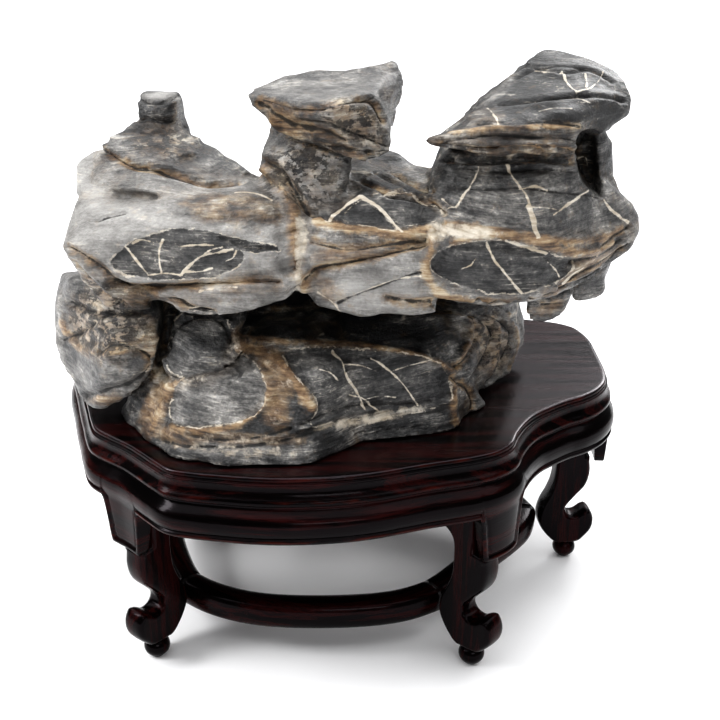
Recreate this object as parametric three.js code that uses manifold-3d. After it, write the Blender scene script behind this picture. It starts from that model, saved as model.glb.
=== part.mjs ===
// A scholar's rock on its carved hardwood stand.
// Millimetres, +Z up, the show side of the rock faces -Y, floor at z = 0.
// The stone is one natural piece. The stand is a top board, an apron with hanging tabs,
// five cabriole legs with ball feet, and a ring of five stretcher rails behind them.
import * as THREE from "three";
import { mergeVertices } from "three/addons/utils/BufferGeometryUtils.js";
import { ConvexGeometry } from "three/addons/geometries/ConvexGeometry.js";
import Module from "manifold-3d";

const wasm = await Module();
wasm.setup();

// ---------------------------------------------------------------- driving dimensions
const GAP = 0.3; // air left between neighbouring pieces

// Stand heights.
const BOARD_TOP = 164;
const BOARD_UNDERSIDE = 147;
const APRON_LOW = 123; // lower edge of the apron between the legs
const TAB_LOW = 90; // lower edge of the tabs that hang over the legs

// Top edge of the board in plan, counter-clockwise from the left end of the front lobe.
const BOARD_OUTLINE = [
  [-101, -150], [-78, -156], [-38, -161], [8, -157], [52, -143], [86, -132],
  [102, -121], [112, -99], [124, -79], [148, -58], [170, -43], [184, -21],
  [188, 28], [187, 62], [177, 86], [142, 100], [108, 109], [80, 126],
  [30, 140], [-30, 141], [-84, 131], [-112, 115], [-150, 107], [-183, 92],
  [-199, 62], [-198, 22], [-183, -26], [-168, -69], [-156, -98], [-137, -114], [-119, -132],
];

// Legs: where each ball foot stands, the way its toe points, in degrees from +X, and how far
// along the edge its tab is shifted from straight above the toe.
const LEGS = [
  { name: "leg_front_left", foot: [-127, -112], facing: 233, shift: -4 },
  { name: "leg_front_right", foot: [86, -120], facing: -44, shift: 6 },
  { name: "leg_right", foot: [172, 8], facing: 4, shift: 0 },
  { name: "leg_back", foot: [44, 112], facing: 80, shift: 0 },
  { name: "leg_left", foot: [-172, 60], facing: 156, shift: 0 },
];
const LEG_WIDTH = 17; // across the leg, side to side
const TAB_WIDTH = 28;
const TAB_REACH = 11; // from the ball foot out to the board's edge above it

// Ring stretcher: its line in plan and its section.
const RAIL_PATH = [
  [-107, -88], [-86, -102], [-58, -112], [-14, -115], [30, -111], [54, -102],
  [70, -89], [90, -64], [107, -45], [124, -26], [136, -10], [140.5, 3],
  [134, 24], [114, 50], [78, 70], [34, 81], [-22, 84], [-80, 80],
  [-120, 68], [-139, 50], [-142, 26], [-136, -12], [-124, -52],
];
const RAIL_OUTER = 7.5; // from the line to the outer face
const RAIL_INNER = 11.5; // from the line to the inner face
const RAIL_LOW = 24.5;
const RAIL_HIGH = 45;

// ---------------------------------------------------------------- shared shape helpers
const vec2 = ([x, y]) => new THREE.Vector2(x, y);

// A smooth closed curve through plan points.
const closedCurve = (points) =>
  new THREE.CatmullRomCurve3(points.map(([x, y]) => new THREE.Vector3(x, y, 0)), true, "centripetal");

// Point and outward normal of a counter-clockwise closed curve at u, 0 to 1 along its length.
function station(curve, u) {
  const at = ((u % 1) + 1) % 1;
  const p = curve.getPointAt(at);
  const t = curve.getTangentAt(at);
  return { u: at, x: p.x, y: p.y, nx: t.y, ny: -t.x };
}

function geometryOf(points, triangles) {
  const g = new THREE.BufferGeometry();
  g.setAttribute("position", new THREE.Float32BufferAttribute(points.flat(), 3));
  g.setIndex(triangles.flat());
  return g;
}

// A ring-shaped solid: at every station a closed section of the same number of points.
function sweptRing(sections) {
  const n = sections.length;
  const m = sections[0].length;
  const triangles = [];
  for (let i = 0; i < n; i++) {
    for (let j = 0; j < m; j++) {
      const a = i * m + j;
      const b = i * m + ((j + 1) % m);
      const c = ((i + 1) % n) * m + j;
      const d = ((i + 1) % n) * m + ((j + 1) % m);
      triangles.push([a, b, c], [b, d, c]);
    }
  }
  return geometryOf(sections.flat(), triangles);
}

// A bar: the same closed section at each end and along the way, with flat ends.
function sweptBar(sections) {
  const n = sections.length;
  const m = sections[0].length;
  const triangles = [];
  for (let i = 0; i + 1 < n; i++) {
    for (let j = 0; j < m; j++) {
      const a = i * m + j;
      const b = i * m + ((j + 1) % m);
      triangles.push([a, b, a + m], [b, b + m, a + m]);
    }
  }
  const last = (n - 1) * m;
  for (let j = 1; j + 1 < m; j++) {
    triangles.push([0, j + 1, j], [last, last + j, last + j + 1]);
  }
  return geometryOf(sections.flat(), triangles);
}

function toSolid(geometry) {
  const bare = geometry.clone();
  for (const name of ["normal", "uv"]) bare.deleteAttribute(name);
  const merged = mergeVertices(bare, 1e-3);
  const solid = new wasm.Manifold(
    new wasm.Mesh({
      numProp: 3,
      vertProperties: new Float32Array(merged.attributes.position.array),
      triVerts: new Uint32Array(merged.index.array),
    }),
  );
  return solid;
}

function fromSolid(solid) {
  const mesh = solid.getMesh();
  const g = new THREE.BufferGeometry();
  g.setAttribute("position", new THREE.BufferAttribute(new Float32Array(mesh.vertProperties), 3));
  g.setIndex(new THREE.BufferAttribute(new Uint32Array(mesh.triVerts), 1));
  return g;
}

const blend = (a, b, t) => a + (b - a) * t;
const smooth = (t) => t * t * (3 - 2 * t);
const clamp = (t) => Math.min(1, Math.max(0, t));

// ---------------------------------------------------------------- finishes
const STONE = new THREE.MeshStandardMaterial({ color: 0x6f6c68, roughness: 0.62, metalness: 0 });
const ROSEWOOD = new THREE.MeshStandardMaterial({ color: 0x2a1312, roughness: 0.22, metalness: 0 });

const group = new THREE.Group();
function add(name, geometry, material) {
  const mesh = new THREE.Mesh(geometry, material);
  mesh.name = name;
  group.add(mesh);
  return mesh;
}

// ---------------------------------------------------------------- stand: top board
const outline = closedCurve(BOARD_OUTLINE);
outline.arcLengthDivisions = 1200;
const OUTLINE_LENGTH = outline.getLength();
const BOARD_STATIONS = 72;

// Edge moulding of the board from the top down: distance out from the top edge, and height.
const BOARD_EDGE = [
  [-1.2, BOARD_TOP],
  [0, BOARD_TOP - 0.8],
  [0.2, BOARD_TOP - 3.4],
  [1.4, BOARD_TOP - 4.2],
  [2.2, BOARD_TOP - 10],
  [4.6, BOARD_UNDERSIDE + 2.6],
  [4.6, BOARD_UNDERSIDE + 0.8],
  [3.6, BOARD_UNDERSIDE],
];

function boardGeometry() {
  const points = [];
  const triangles = [];
  const n = BOARD_STATIONS;
  for (const [out, z] of BOARD_EDGE) {
    for (let i = 0; i < n; i++) {
      const s = station(outline, i / n);
      points.push([s.x + s.nx * out, s.y + s.ny * out, z]);
    }
  }
  for (let k = 0; k + 1 < BOARD_EDGE.length; k++) {
    for (let i = 0; i < n; i++) {
      const a = k * n + i;
      const b = k * n + ((i + 1) % n);
      triangles.push([a, a + n, b], [b, a + n, b + n]);
    }
  }
  const caps = THREE.ShapeUtils.triangulateShape(points.slice(0, n).map(vec2), []);
  const under = (BOARD_EDGE.length - 1) * n;
  for (const [a, b, c] of caps) triangles.push([a, b, c], [under + a, under + c, under + b]);
  return geometryOf(points, triangles);
}
add("top_board", boardGeometry(), ROSEWOOD);

// ---------------------------------------------------------------- stand: apron and tabs
// Section between the legs and section through a tab: distance out from the board's edge, and
// height. Both run from the inner top corner out over the bulge and back along the inner wall.
const APRON_TOP = BOARD_UNDERSIDE - GAP;
const APRON_SECTION = [
  [-4.5, APRON_TOP], [1.4, APRON_TOP], [1.8, APRON_TOP - 3], [5.6, 140.4], [8, 136.4], [8.2, 132],
  [6.6, 127.4], [5.6, 126.6], [6.8, 125.4], [6.6, APRON_LOW], [-4.5, APRON_LOW],
];
const TAB_SECTION = [
  [-4.5, APRON_TOP], [1.4, APRON_TOP], [1.8, APRON_TOP - 3], [5.6, 140.4], [8, 136.4], [8, 130],
  [6.2, 112], [5.8, 94], [6.8, 92.6], [6.8, TAB_LOW], [-1, TAB_LOW],
];

const facingOf = (leg) => {
  const a = THREE.MathUtils.degToRad(leg.facing);
  return [Math.cos(a), Math.sin(a)];
};

// Where along the outline each leg's tab is centred.
function nearestOnOutline(x, y) {
  const samples = 1200;
  let best = 0;
  let least = Infinity;
  for (let i = 0; i < samples; i++) {
    const p = outline.getPointAt(i / samples);
    const d = Math.hypot(p.x - x, p.y - y);
    if (d < least) [least, best] = [d, i / samples];
  }
  return best;
}
for (const leg of LEGS) {
  const [fx, fy] = facingOf(leg);
  const above = nearestOnOutline(leg.foot[0] + fx * TAB_REACH, leg.foot[1] + fy * TAB_REACH);
  leg.tab = above + leg.shift / OUTLINE_LENGTH;
}

// How far a station is inside a tab, 0 between the legs to 1 across the tab.
const TAB_CORNER = 4; // length over which the lower edge turns down
function tabShare(u) {
  let share = 0;
  for (const leg of LEGS) {
    const away = Math.abs(((u - leg.tab + 1.5) % 1) - 0.5) * OUTLINE_LENGTH;
    share = Math.max(share, smooth(clamp((TAB_WIDTH / 2 + TAB_CORNER - away) / TAB_CORNER)));
  }
  return share;
}

function apronStations() {
  const us = [];
  const spread = 56;
  for (let i = 0; i < spread; i++) {
    const u = i / spread;
    const clear = LEGS.every((leg) => {
      const away = Math.abs(((u - leg.tab + 1.5) % 1) - 0.5) * OUTLINE_LENGTH;
      return away > TAB_WIDTH / 2 + 2 * TAB_CORNER;
    });
    if (clear) us.push(u);
  }
  for (const leg of LEGS) {
    const half = TAB_WIDTH / 2;
    for (const side of [-1, 1]) {
      for (const away of [half / 3, half, half + TAB_CORNER / 2, half + TAB_CORNER]) {
        us.push((leg.tab + (side * away) / OUTLINE_LENGTH + 1) % 1);
      }
    }
  }
  return us.sort((a, b) => a - b);
}

function apronGeometry() {
  const sections = apronStations().map((u) => {
    const s = station(outline, u);
    const share = tabShare(u);
    return APRON_SECTION.map(([out, z], k) => {
      const o = blend(out, TAB_SECTION[k][0], share);
      return [s.x + s.nx * o, s.y + s.ny * o, blend(z, TAB_SECTION[k][1], share)];
    });
  });
  return sweptRing(sections);
}
add("apron", apronGeometry(), ROSEWOOD);

// ---------------------------------------------------------------- stand: legs
// Side view of a leg: reach outward from the ball foot's centre, and height. It runs down the
// outer face from the tab's lower edge, round the scrolled toe, under the foot and up the back.
const LEG_PROFILE = [
  [12.5, 86], [13.4, 76], [10.8, 65], [3, 55], [-3.2, 46], [-1.4, 39.6], [5, 38.4], [11, 42.4],
  [15.6, 42.8], [19.4, 36], [18.8, 27], [13.8, 19.5], [7.5, 14.5], [-7, 14.2], [-15, 20],
  [-21.5, 29], [-23.6, 37], [-21.5, 48], [-17, 58], [-14, 68], [-13, 80], [-13.5, 92],
  [-17, 98], [-24, 102], [-27, 107],
];
const POST_INNER = -27; // the post behind the apron widens inwards at the top, as a bracket
const BALL_RADIUS = 8.7;
const BALL_HEIGHT = 15.5;
const FOOT_FLAT = 4.2; // radius of the flat the ball stands on

// How far out from the ball foot a leg's post can reach before it meets the apron's inner wall.
function postReach(leg) {
  const [fx, fy] = facingOf(leg);
  let reach = Infinity;
  for (let away = -24; away <= 24; away += 0.5) {
    const s = station(outline, leg.tab + away / OUTLINE_LENGTH);
    const x = s.x + s.nx * APRON_SECTION[0][0] - leg.foot[0];
    const y = s.y + s.ny * APRON_SECTION[0][0] - leg.foot[1];
    const across = Math.abs(x * fy - y * fx);
    if (across < LEG_WIDTH / 2 + 2) reach = Math.min(reach, x * fx + y * fy);
  }
  return reach - 2 * GAP;
}

function legSolid(postOuter) {
  // Cabriole profile, sawn from a plank LEG_WIDTH thick.
  const side = new THREE.CatmullRomCurve3(
    LEG_PROFILE.map(([r, z]) => new THREE.Vector3(r, z, 0)), false, "centripetal");
  const shape = new THREE.Shape(side.getPoints(30).map((p) => new THREE.Vector2(p.x, p.y)));
  shape.lineTo(POST_INNER, APRON_TOP);
  shape.lineTo(postOuter, APRON_TOP);
  shape.lineTo(postOuter, TAB_LOW - 0.6);
  shape.lineTo(12.3, TAB_LOW - 0.6);
  shape.closePath();
  const bevel = 2.5;
  const plank = new THREE.ExtrudeGeometry(shape, {
    depth: LEG_WIDTH - 2 * bevel, bevelEnabled: true, bevelSize: bevel, bevelThickness: bevel,
    bevelSegments: 1, bevelOffset: -bevel, curveSegments: 1,
  });
  plank.translate(0, 0, -LEG_WIDTH / 2 + bevel);
  plank.rotateX(Math.PI / 2); // profile height becomes +Z, thickness runs along Y

  // Ball foot with a short neck, flattened where it stands.
  const ball = [new THREE.Vector2(0, 0), new THREE.Vector2(FOOT_FLAT, 0)];
  const steps = 5;
  for (let i = 1; i <= steps; i++) {
    const a = -Math.PI / 2 + 0.5 + (i / steps) * 2.2;
    ball.push(new THREE.Vector2(BALL_RADIUS * Math.cos(a), BALL_HEIGHT * (0.48 + 0.52 * Math.sin(a))));
  }
  ball.push(new THREE.Vector2(6, BALL_HEIGHT), new THREE.Vector2(0, BALL_HEIGHT));
  const foot = new THREE.LatheGeometry(ball, 14);
  foot.rotateX(Math.PI / 2);
  return toSolid(plank).add(toSolid(foot));
}

for (const leg of LEGS) {
  const mesh = add(leg.name, fromSolid(legSolid(postReach(leg))), ROSEWOOD);
  mesh.rotation.z = THREE.MathUtils.degToRad(leg.facing);
  mesh.position.set(leg.foot[0], leg.foot[1], 0);
}

// ---------------------------------------------------------------- stand: stretcher rails
const railPath = closedCurve(RAIL_PATH);
railPath.arcLengthDivisions = 1200;
const RAIL_CHAMFER = 4;

// The rails meet behind the legs, so each leg's place along the ring is where two rails join.
function nearestOnRail(x, y) {
  const samples = 1200;
  let best = 0;
  let least = Infinity;
  for (let i = 0; i < samples; i++) {
    const p = railPath.getPointAt(i / samples);
    const d = Math.hypot(p.x - x, p.y - y);
    if (d < least) [least, best] = [d, i / samples];
  }
  return best;
}

function railGeometry(from, to) {
  const length = railPath.getLength();
  const steps = Math.max(5, Math.round(((to - from) * length) / 16));
  const trim = GAP / 2 / length;
  const inner = -RAIL_INNER;
  const outer = RAIL_OUTER;
  const c = RAIL_CHAMFER;
  const section = [
    [inner, RAIL_LOW + c], [inner, RAIL_HIGH - c], [inner + c, RAIL_HIGH], [outer - c, RAIL_HIGH],
    [outer, RAIL_HIGH - c], [outer, RAIL_LOW + c], [outer - c, RAIL_LOW], [inner + c, RAIL_LOW],
  ];
  const sections = [];
  for (let i = 0; i <= steps; i++) {
    const s = station(railPath, blend(from + trim, to - trim, i / steps));
    sections.push(section.map(([out, z]) => [s.x + s.nx * out, s.y + s.ny * out, z]));
  }
  return sweptBar(sections);
}

const joints = LEGS.map((leg) => {
  const [fx, fy] = facingOf(leg);
  return nearestOnRail(leg.foot[0] - 31 * fx, leg.foot[1] - 31 * fy);
});
LEGS.forEach((leg, i) => {
  const from = joints[i];
  const to = joints[(i + 1) % LEGS.length];
  const name = `rail_${i + 1}`;
  add(name, railGeometry(from, to > from ? to : to + 1), ROSEWOOD);
});

// ---------------------------------------------------------------- the stone
// The stone is one piece, built up from the convex masses that it reads as: a broad base, a
// column and a hanging chunk under it, a left slab with a short neck, a capped pinnacle in the
// middle and a beaked head on the right. Each mass is the hull of its corners.
const STONE_MASSES = [
  { name: "base_left", corners: [
    [-148, -76, 160], [-126, -114, 160], [-104, -138, 160], [-75, -150, 160], [-22, -149, 160],
    [8, -120, 160], [20, -60, 160], [-130, 30, 160], [-60, 62, 160], [10, 60, 160], [-126, -84, 196],
    [-92, -114, 206], [-60, -119, 210], [-25, -116, 214], [2, -104, 212], [-118, 0, 210], [0, 0, 222],
    [-104, 40, 206], [-50, 56, 212], [0, 50, 214],
  ] },
  { name: "base_right", corners: [
    [-2, -122, 160], [35, -112, 160], [66, -106, 160], [82, -74, 160], [92, -22, 160], [104, 36, 160],
    [90, 66, 160], [30, 88, 160], [-20, 70, 160], [0, -101, 208], [20, -96, 212], [58, -88, 211],
    [84, -66, 200], [96, -20, 212], [108, 36, 212], [80, 74, 222], [20, 84, 216], [0, -60, 224],
    [60, -50, 226], [0, 54, 224],
  ] },
  { name: "base_corner", corners: [
    [70, -76, 191], [85, -70, 177], [94, -64, 167], [96, -66, 163], [88, -74, 159], [70, -90, 160],
    [67, -88, 183], [60, -40, 166], [82, -30, 166], [60, -40, 200],
  ] },
  { name: "left_chunk", corners: [
    [-195, -40, 210], [-191, -32, 228], [-175, -50, 247], [-120, -80, 249], [-113, -96, 221],
    [-119, -98, 202], [-134, -96, 186], [-142, -92, 178], [-160, -84, 172], [-171, -72, 173],
    [-177, -60, 182], [-190, -45, 190], [-139, -104, 224], [-149, -100, 199], [-200, 10, 232],
    [-196, 10, 196], [-120, 0, 240], [-130, 20, 190], [-170, 34, 220],
  ] },
  { name: "left_column", corners: [
    [-109, -108, 201], [-109, -92, 219], [-103, -84, 234], [-85, -82, 239], [-69, -88, 234],
    [-63, -96, 225], [-64, -106, 216], [-72, -112, 209], [-88, -116, 205], [-88, -106, 225],
    [-110, -30, 215], [-60, -30, 238], [-100, -40, 245],
  ] },
  { name: "right_pier", corners: [
    [83, -36, 224], [109, -14, 218], [124, 4, 208], [130, 12, 192], [130, 10, 177], [113, -24, 166],
    [98, -44, 166], [81, -60, 177], [69, -70, 194], [66, -66, 208], [71, -56, 220], [60, 20, 250],
    [108, 40, 250], [112, 46, 190], [60, 0, 190],
  ] },
  { name: "mid_ridge", corners: [
    [-63, -94, 220], [-50, -84, 226], [-36, -84, 224], [-14, -118, 194], [-25, -124, 180],
    [-48, -120, 181], [-50, -40, 215], [0, -40, 215], [-30, -60, 200],
  ] },
  { name: "core", corners: [
    [-104, -20, 170], [96, -20, 170], [-96, 44, 170], [88, 48, 170], [-100, -30, 268], [94, -30, 268],
    [-84, 34, 280], [80, 38, 280],
  ] },
  { name: "back_rib_left", corners: [
    [-132, 18, 160], [-108, 62, 160], [-72, 74, 160], [-58, 40, 160], [-140, 24, 206], [-118, 56, 214],
    [-84, 66, 200], [-96, 52, 252], [-126, 30, 258], [-70, 40, 262], [-112, 12, 272],
  ] },
  { name: "back_boulder", corners: [
    [-66, 56, 160], [-22, 94, 160], [22, 90, 160], [40, 56, 160], [-60, 66, 192], [-28, 97, 198],
    [16, 94, 190], [-46, 72, 226], [-10, 82, 232], [18, 66, 224], [-30, 30, 236],
  ] },
  { name: "back_flare", corners: [
    [-64, 30, 236], [-40, 64, 240], [-4, 74, 246], [26, 56, 238], [-58, 58, 276], [-24, 80, 284],
    [14, 66, 290], [-34, 60, 300], [8, 50, 304], [-20, 20, 296],
  ] },
  { name: "back_rib_right", corners: [
    [34, 50, 160], [62, 82, 160], [98, 74, 160], [112, 40, 160], [46, 66, 214], [74, 86, 204],
    [106, 62, 210], [60, 60, 250], [84, 70, 262], [106, 44, 250], [72, 30, 282], [50, 20, 260],
  ] },
  { name: "back_ledge_right", corners: [
    [66, 40, 250], [92, 74, 262], [130, 80, 266], [150, 50, 262], [84, 70, 288], [122, 76, 292],
    [144, 56, 296], [110, 58, 308], [90, 20, 300], [140, 16, 260],
  ] },
  { name: "left_block", corners: [
    [-162, -104, 287], [-156, -106, 274], [-145, -100, 261], [-136, -104, 251], [-113, -106, 251],
    [-81, -118, 260], [-32, -110, 261], [-25, -104, 276], [-29, -88, 300], [-48, -74, 308],
    [-83, -84, 308], [-125, -84, 304], [-154, -76, 301], [-129, -112, 292], [-103, -108, 298],
    [-58, -108, 295], [-33, -110, 287], [-166, -50, 300], [-160, 8, 292], [-134, 42, 286],
    [-84, 54, 282], [-20, 38, 290], [-22, -30, 312], [-150, 28, 264], [-96, 44, 256], [-30, 30, 262],
    [-168, -30, 262],
  ] },
  { name: "left_lip", corners: [
    [-106, -110, 258], [-89, -114, 245], [-59, -118, 249], [-32, -112, 254], [-26, -114, 267],
    [-63, -122, 270], [-92, -118, 266], [-100, -60, 262], [-25, -60, 262], [-60, -40, 290],
  ] },
  { name: "left_knob", corners: [
    [-171, -40, 303], [-177, -26, 312], [-170, -8, 322], [-156, -2, 324], [-141, -10, 325],
    [-129, -50, 312], [-149, -60, 299], [-168, 20, 304], [-130, 45, 304], [-163, -20, 280],
  ] },
  { name: "neck_skirt", corners: [
    [-152, -24, 325], [-147, -2, 334], [-137, 8, 340], [-112, 8, 335], [-90, -2, 316], [-73, -8, 313],
    [-62, -6, 307], [-86, -44, 307], [-110, -44, 317], [-133, -40, 320], [-146, 34, 290],
    [-100, 58, 286], [-62, 34, 284], [-128, 40, 316], [-108, 42, 318],
  ] },
  { name: "neck", corners: [
    [-135, 14, 352], [-133, 26, 354], [-109, 20, 355], [-111, 8, 349], [-120, 4, 349], [-135, 10, 340],
    [-113, 8, 338], [-122, 4, 338], [-136, 4, 330], [-111, 8, 330], [-134, 34, 348], [-112, 32, 348],
    [-136, 40, 318], [-106, 40, 318],
  ] },
  { name: "centre_belly", corners: [
    [-26, -106, 277], [-23, -104, 259], [-12, -106, 248], [5, -106, 242], [36, -106, 239],
    [55, -104, 242], [58, -108, 263], [55, -100, 282], [51, -86, 295], [2, -80, 298], [-24, -88, 296],
    [0, -114, 278], [34, -110, 284], [-28, 30, 262], [30, 44, 258], [66, 30, 262], [-24, 44, 306],
    [60, 44, 300], [-28, -30, 316], [56, -30, 310],
  ] },
  { name: "centre_panel", corners: [
    [-7, -92, 296], [11, -84, 310], [26, -78, 312], [42, -74, 309], [58, -74, 302], [61, -86, 295],
    [43, -98, 291], [12, -98, 292], [20, -20, 308], [54, -14, 304], [15, -20, 280],
  ] },
  { name: "column", corners: [
    [-44, -30, 340], [-50, -44, 323], [-45, -50, 317], [-25, -54, 331], [6, -58, 327], [3, -66, 306],
    [-7, -78, 293], [-22, -76, 292], [-36, -60, 304], [-26, -30, 345], [5, -40, 344], [-50, 4, 300],
    [-8, 10, 300], [-44, 4, 344], [-6, 6, 344], [-46, 28, 296], [-4, 24, 296],
  ] },
  { name: "cap", corners: [
    [-55, -50, 362], [-48, -46, 354], [-41, -48, 345], [-25, -56, 338], [-1, -66, 332], [12, -72, 329],
    [28, -58, 330], [30, -52, 338], [26, -50, 347], [18, -62, 363], [2, -84, 364], [-6, -88, 362],
    [-23, -80, 359], [-41, -64, 360], [-48, -18, 365], [-37, -6, 369], [-8, 8, 370], [17, 6, 369],
    [29, 0, 374], [-40, 0, 346], [30, 8, 346],
  ] },
  { name: "cap_hook", corners: [
    [32, 6, 376], [35, 4, 373], [38, 0, 363], [33, -4, 351], [32, -6, 338], [29, -12, 338],
    [23, -40, 360], [19, 0, 368], [28, 22, 352], [22, 20, 344],
  ] },
  { name: "shoulder_back", corners: [
    [1, 20, 304], [16, 20, 317], [35, 15, 318], [47, 8, 304], [64, 0, 290], [63, -40, 288],
    [31, -50, 296], [1, -40, 297], [-2, 40, 300], [60, 48, 288], [18, 52, 310], [-6, 10, 300],
  ] },
  { name: "right_body", corners: [
    [53, -64, 312], [61, -60, 328], [75, -68, 334], [140, -68, 331], [158, -62, 313], [176, -50, 303],
    [190, -40, 290], [189, -42, 281], [166, -66, 276], [128, -98, 284], [92, -104, 295],
    [61, -96, 294], [53, -82, 300], [70, 24, 328], [146, 24, 328], [190, 8, 282], [196, 6, 268],
    [188, 40, 262], [60, 54, 280], [150, 62, 270], [140, 52, 310], [80, 56, 310],
  ] },
  { name: "right_belly", corners: [
    [48, -102, 283], [52, -106, 258], [76, -106, 249], [106, -104, 250], [131, -96, 252],
    [154, -80, 259], [178, -58, 268], [190, -44, 281], [128, -100, 286], [92, -106, 292],
    [63, -104, 292], [92, -112, 277], [119, -106, 272], [50, 0, 256], [152, 20, 246], [190, 4, 256],
    [190, 30, 276], [56, 20, 296], [120, 60, 256], [60, 50, 262],
  ] },
  { name: "head", corners: [
    [61, -80, 341], [74, -88, 337], [108, -90, 338], [137, -84, 336], [139, -76, 348], [162, -56, 345],
    [172, -46, 349], [178, -36, 354], [179, -28, 364], [175, -14, 371], [167, -4, 377], [152, 4, 379],
    [139, 10, 383], [131, 10, 384], [122, 2, 380], [112, -6, 373], [103, -24, 364], [85, -52, 355],
    [101, -92, 353], [134, -82, 360], [74, 8, 334], [126, 20, 334], [166, 16, 342], [120, 34, 368],
    [150, 24, 374], [90, 14, 352],
  ] },
  { name: "head_beak", corners: [
    [54, -80, 342], [63, -88, 339], [77, -90, 337], [91, -92, 341], [92, -74, 353], [84, -54, 355],
    [69, -62, 348], [85, -90, 350], [66, -30, 338], [90, -10, 338],
  ] },
  { name: "head_lip", corners: [
    [60, -84, 343], [74, -92, 339], [91, -94, 339], [113, -94, 340], [136, -88, 336], [138, -82, 347],
    [116, -92, 350], [90, -92, 350], [74, -90, 346], [80, -30, 330], [150, -30, 330],
  ] },
  { name: "right_prop", corners: [
    [161, -30, 345], [173, -25, 327], [170, -25, 316], [174, -35, 301], [159, -47, 303],
    [157, -42, 323], [154, -40, 347], [162, 12, 352], [178, 12, 300], [148, 12, 300],
  ] },
  { name: "stub_centre", corners: [
    [115, -68, 246], [142, -64, 246], [142, -58, 227], [131, -60, 221], [120, -64, 226],
    [128, -18, 250], [157, -18, 250], [138, -30, 233],
  ] },
  { name: "stub_right", corners: [
    [146, -42, 254], [171, -32, 255], [172, -30, 229], [153, -36, 228], [163, 2, 262], [187, 2, 262],
    [170, 5, 244],
  ] },
  { name: "cleft_web", corners: [
    [-42, -72, 305], [-18, -80, 297], [-32, -100, 288], [-18, -98, 288], [-30, -104, 261],
    [-17, -104, 261], [-60, 0, 300], [-30, 0, 300], [-60, 0, 262], [-20, 0, 262],
  ] },
  { name: "left_ledge", corners: [
    [-160, -96, 281], [-155, -98, 269], [-146, -94, 249], [-139, -96, 245], [-114, -104, 247],
    [-129, -108, 264], [-149, -106, 280], [-160, -40, 262], [-110, -50, 262], [-160, -40, 290],
  ] },
  { name: "skirt_web", corners: [
    [-158, -10, 323], [-130, -36, 320], [-111, -42, 317], [-86, -44, 308], [-64, -30, 306],
    [-130, -60, 308], [-98, -66, 307], [-156, -40, 311], [-100, 20, 270], [-150, 20, 270],
    [-60, 30, 290],
  ] },
  { name: "inner_left", corners: [
    [-134, -46, 235], [-99, -46, 235], [-126, -64, 188], [-102, -64, 188], [-130, 30, 196],
    [-80, 30, 196], [-130, 30, 262], [-80, 30, 262],
  ] },
];

// Hollows worn into it, cut out after the masses are joined.
const STONE_HOLLOWS = [
  { name: "cave", corners: [
    [-44, -140, 246], [0, -140, 241], [57, -140, 238], [74, -100, 237], [-36, -66, 236],
    [66, -66, 232], [-40, -140, 243], [-6, -140, 240], [46, -130, 230], [65, -110, 215],
    [-30, -66, 226], [60, -66, 226],
  ] },
  { name: "notch", corners: [
    [130, -110, 353], [147, -100, 352], [132, -100, 334], [149, -95, 330], [146, -80, 312],
    [157, -70, 306], [146, -26, 338], [160, -22, 334], [158, -26, 306], [150, -20, 318],
  ] },
];

const hullSolid = ({ corners }) =>
  toSolid(new ConvexGeometry(corners.map(([x, y, z]) => new THREE.Vector3(x, y, z))));

function stoneSolid() {
  const joined = STONE_MASSES.map(hullSolid).reduce((stone, mass) => stone.add(mass));
  const worn = STONE_HOLLOWS.map(hullSolid).reduce((stone, hollow) => stone.subtract(hollow), joined);
  // The underside is cut flat where it rests on the board.
  const slab = new THREE.BoxGeometry(600, 600, 100);
  slab.translate(0, 0, BOARD_TOP + GAP - 50);
  return worn.subtract(toSolid(slab));
}
add("scholars_rock", fromSolid(stoneSolid()), STONE);

// The origin sits on the floor under the middle of the whole object.
const middle = new THREE.Box3().setFromObject(group).getCenter(new THREE.Vector3());
group.children.forEach((mesh) => mesh.position.sub(new THREE.Vector3(middle.x, middle.y, 0)));

export default group;
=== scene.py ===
import math
import bmesh
import bpy
import numpy as np
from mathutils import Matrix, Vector


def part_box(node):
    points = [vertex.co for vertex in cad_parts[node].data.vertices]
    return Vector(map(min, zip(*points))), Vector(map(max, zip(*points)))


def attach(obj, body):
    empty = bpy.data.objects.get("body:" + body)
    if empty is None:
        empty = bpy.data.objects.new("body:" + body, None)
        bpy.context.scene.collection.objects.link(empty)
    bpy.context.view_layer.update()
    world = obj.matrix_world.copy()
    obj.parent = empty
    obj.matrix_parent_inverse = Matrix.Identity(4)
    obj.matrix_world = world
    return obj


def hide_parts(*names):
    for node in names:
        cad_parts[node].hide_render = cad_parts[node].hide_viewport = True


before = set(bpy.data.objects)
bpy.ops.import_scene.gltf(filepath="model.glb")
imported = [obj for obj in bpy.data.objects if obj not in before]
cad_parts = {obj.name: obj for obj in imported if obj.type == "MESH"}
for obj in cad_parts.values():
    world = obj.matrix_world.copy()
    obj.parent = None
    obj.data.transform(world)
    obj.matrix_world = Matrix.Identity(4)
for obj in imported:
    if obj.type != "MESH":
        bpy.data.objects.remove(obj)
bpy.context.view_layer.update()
scene = bpy.context.scene
MM = 0.001

# The camera's place, in mm in the source's own frame. It looks along +Y, and this many degrees
# down.
CAMERA_PLACE = (11, -663.18, 451.29)
CAMERA_DOWN = 23

# ---------------------------------------------------------------- small helpers


def linear(hex_colour):
    """An sRGB hex colour as linear RGBA."""
    value = hex_colour.lstrip("#")
    parts = [int(value[i:i + 2], 16) / 255 for i in (0, 2, 4)]
    return [c / 12.92 if c <= 0.04045 else ((c + 0.055) / 1.055) ** 2.4 for c in parts] + [1.0]


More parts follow.
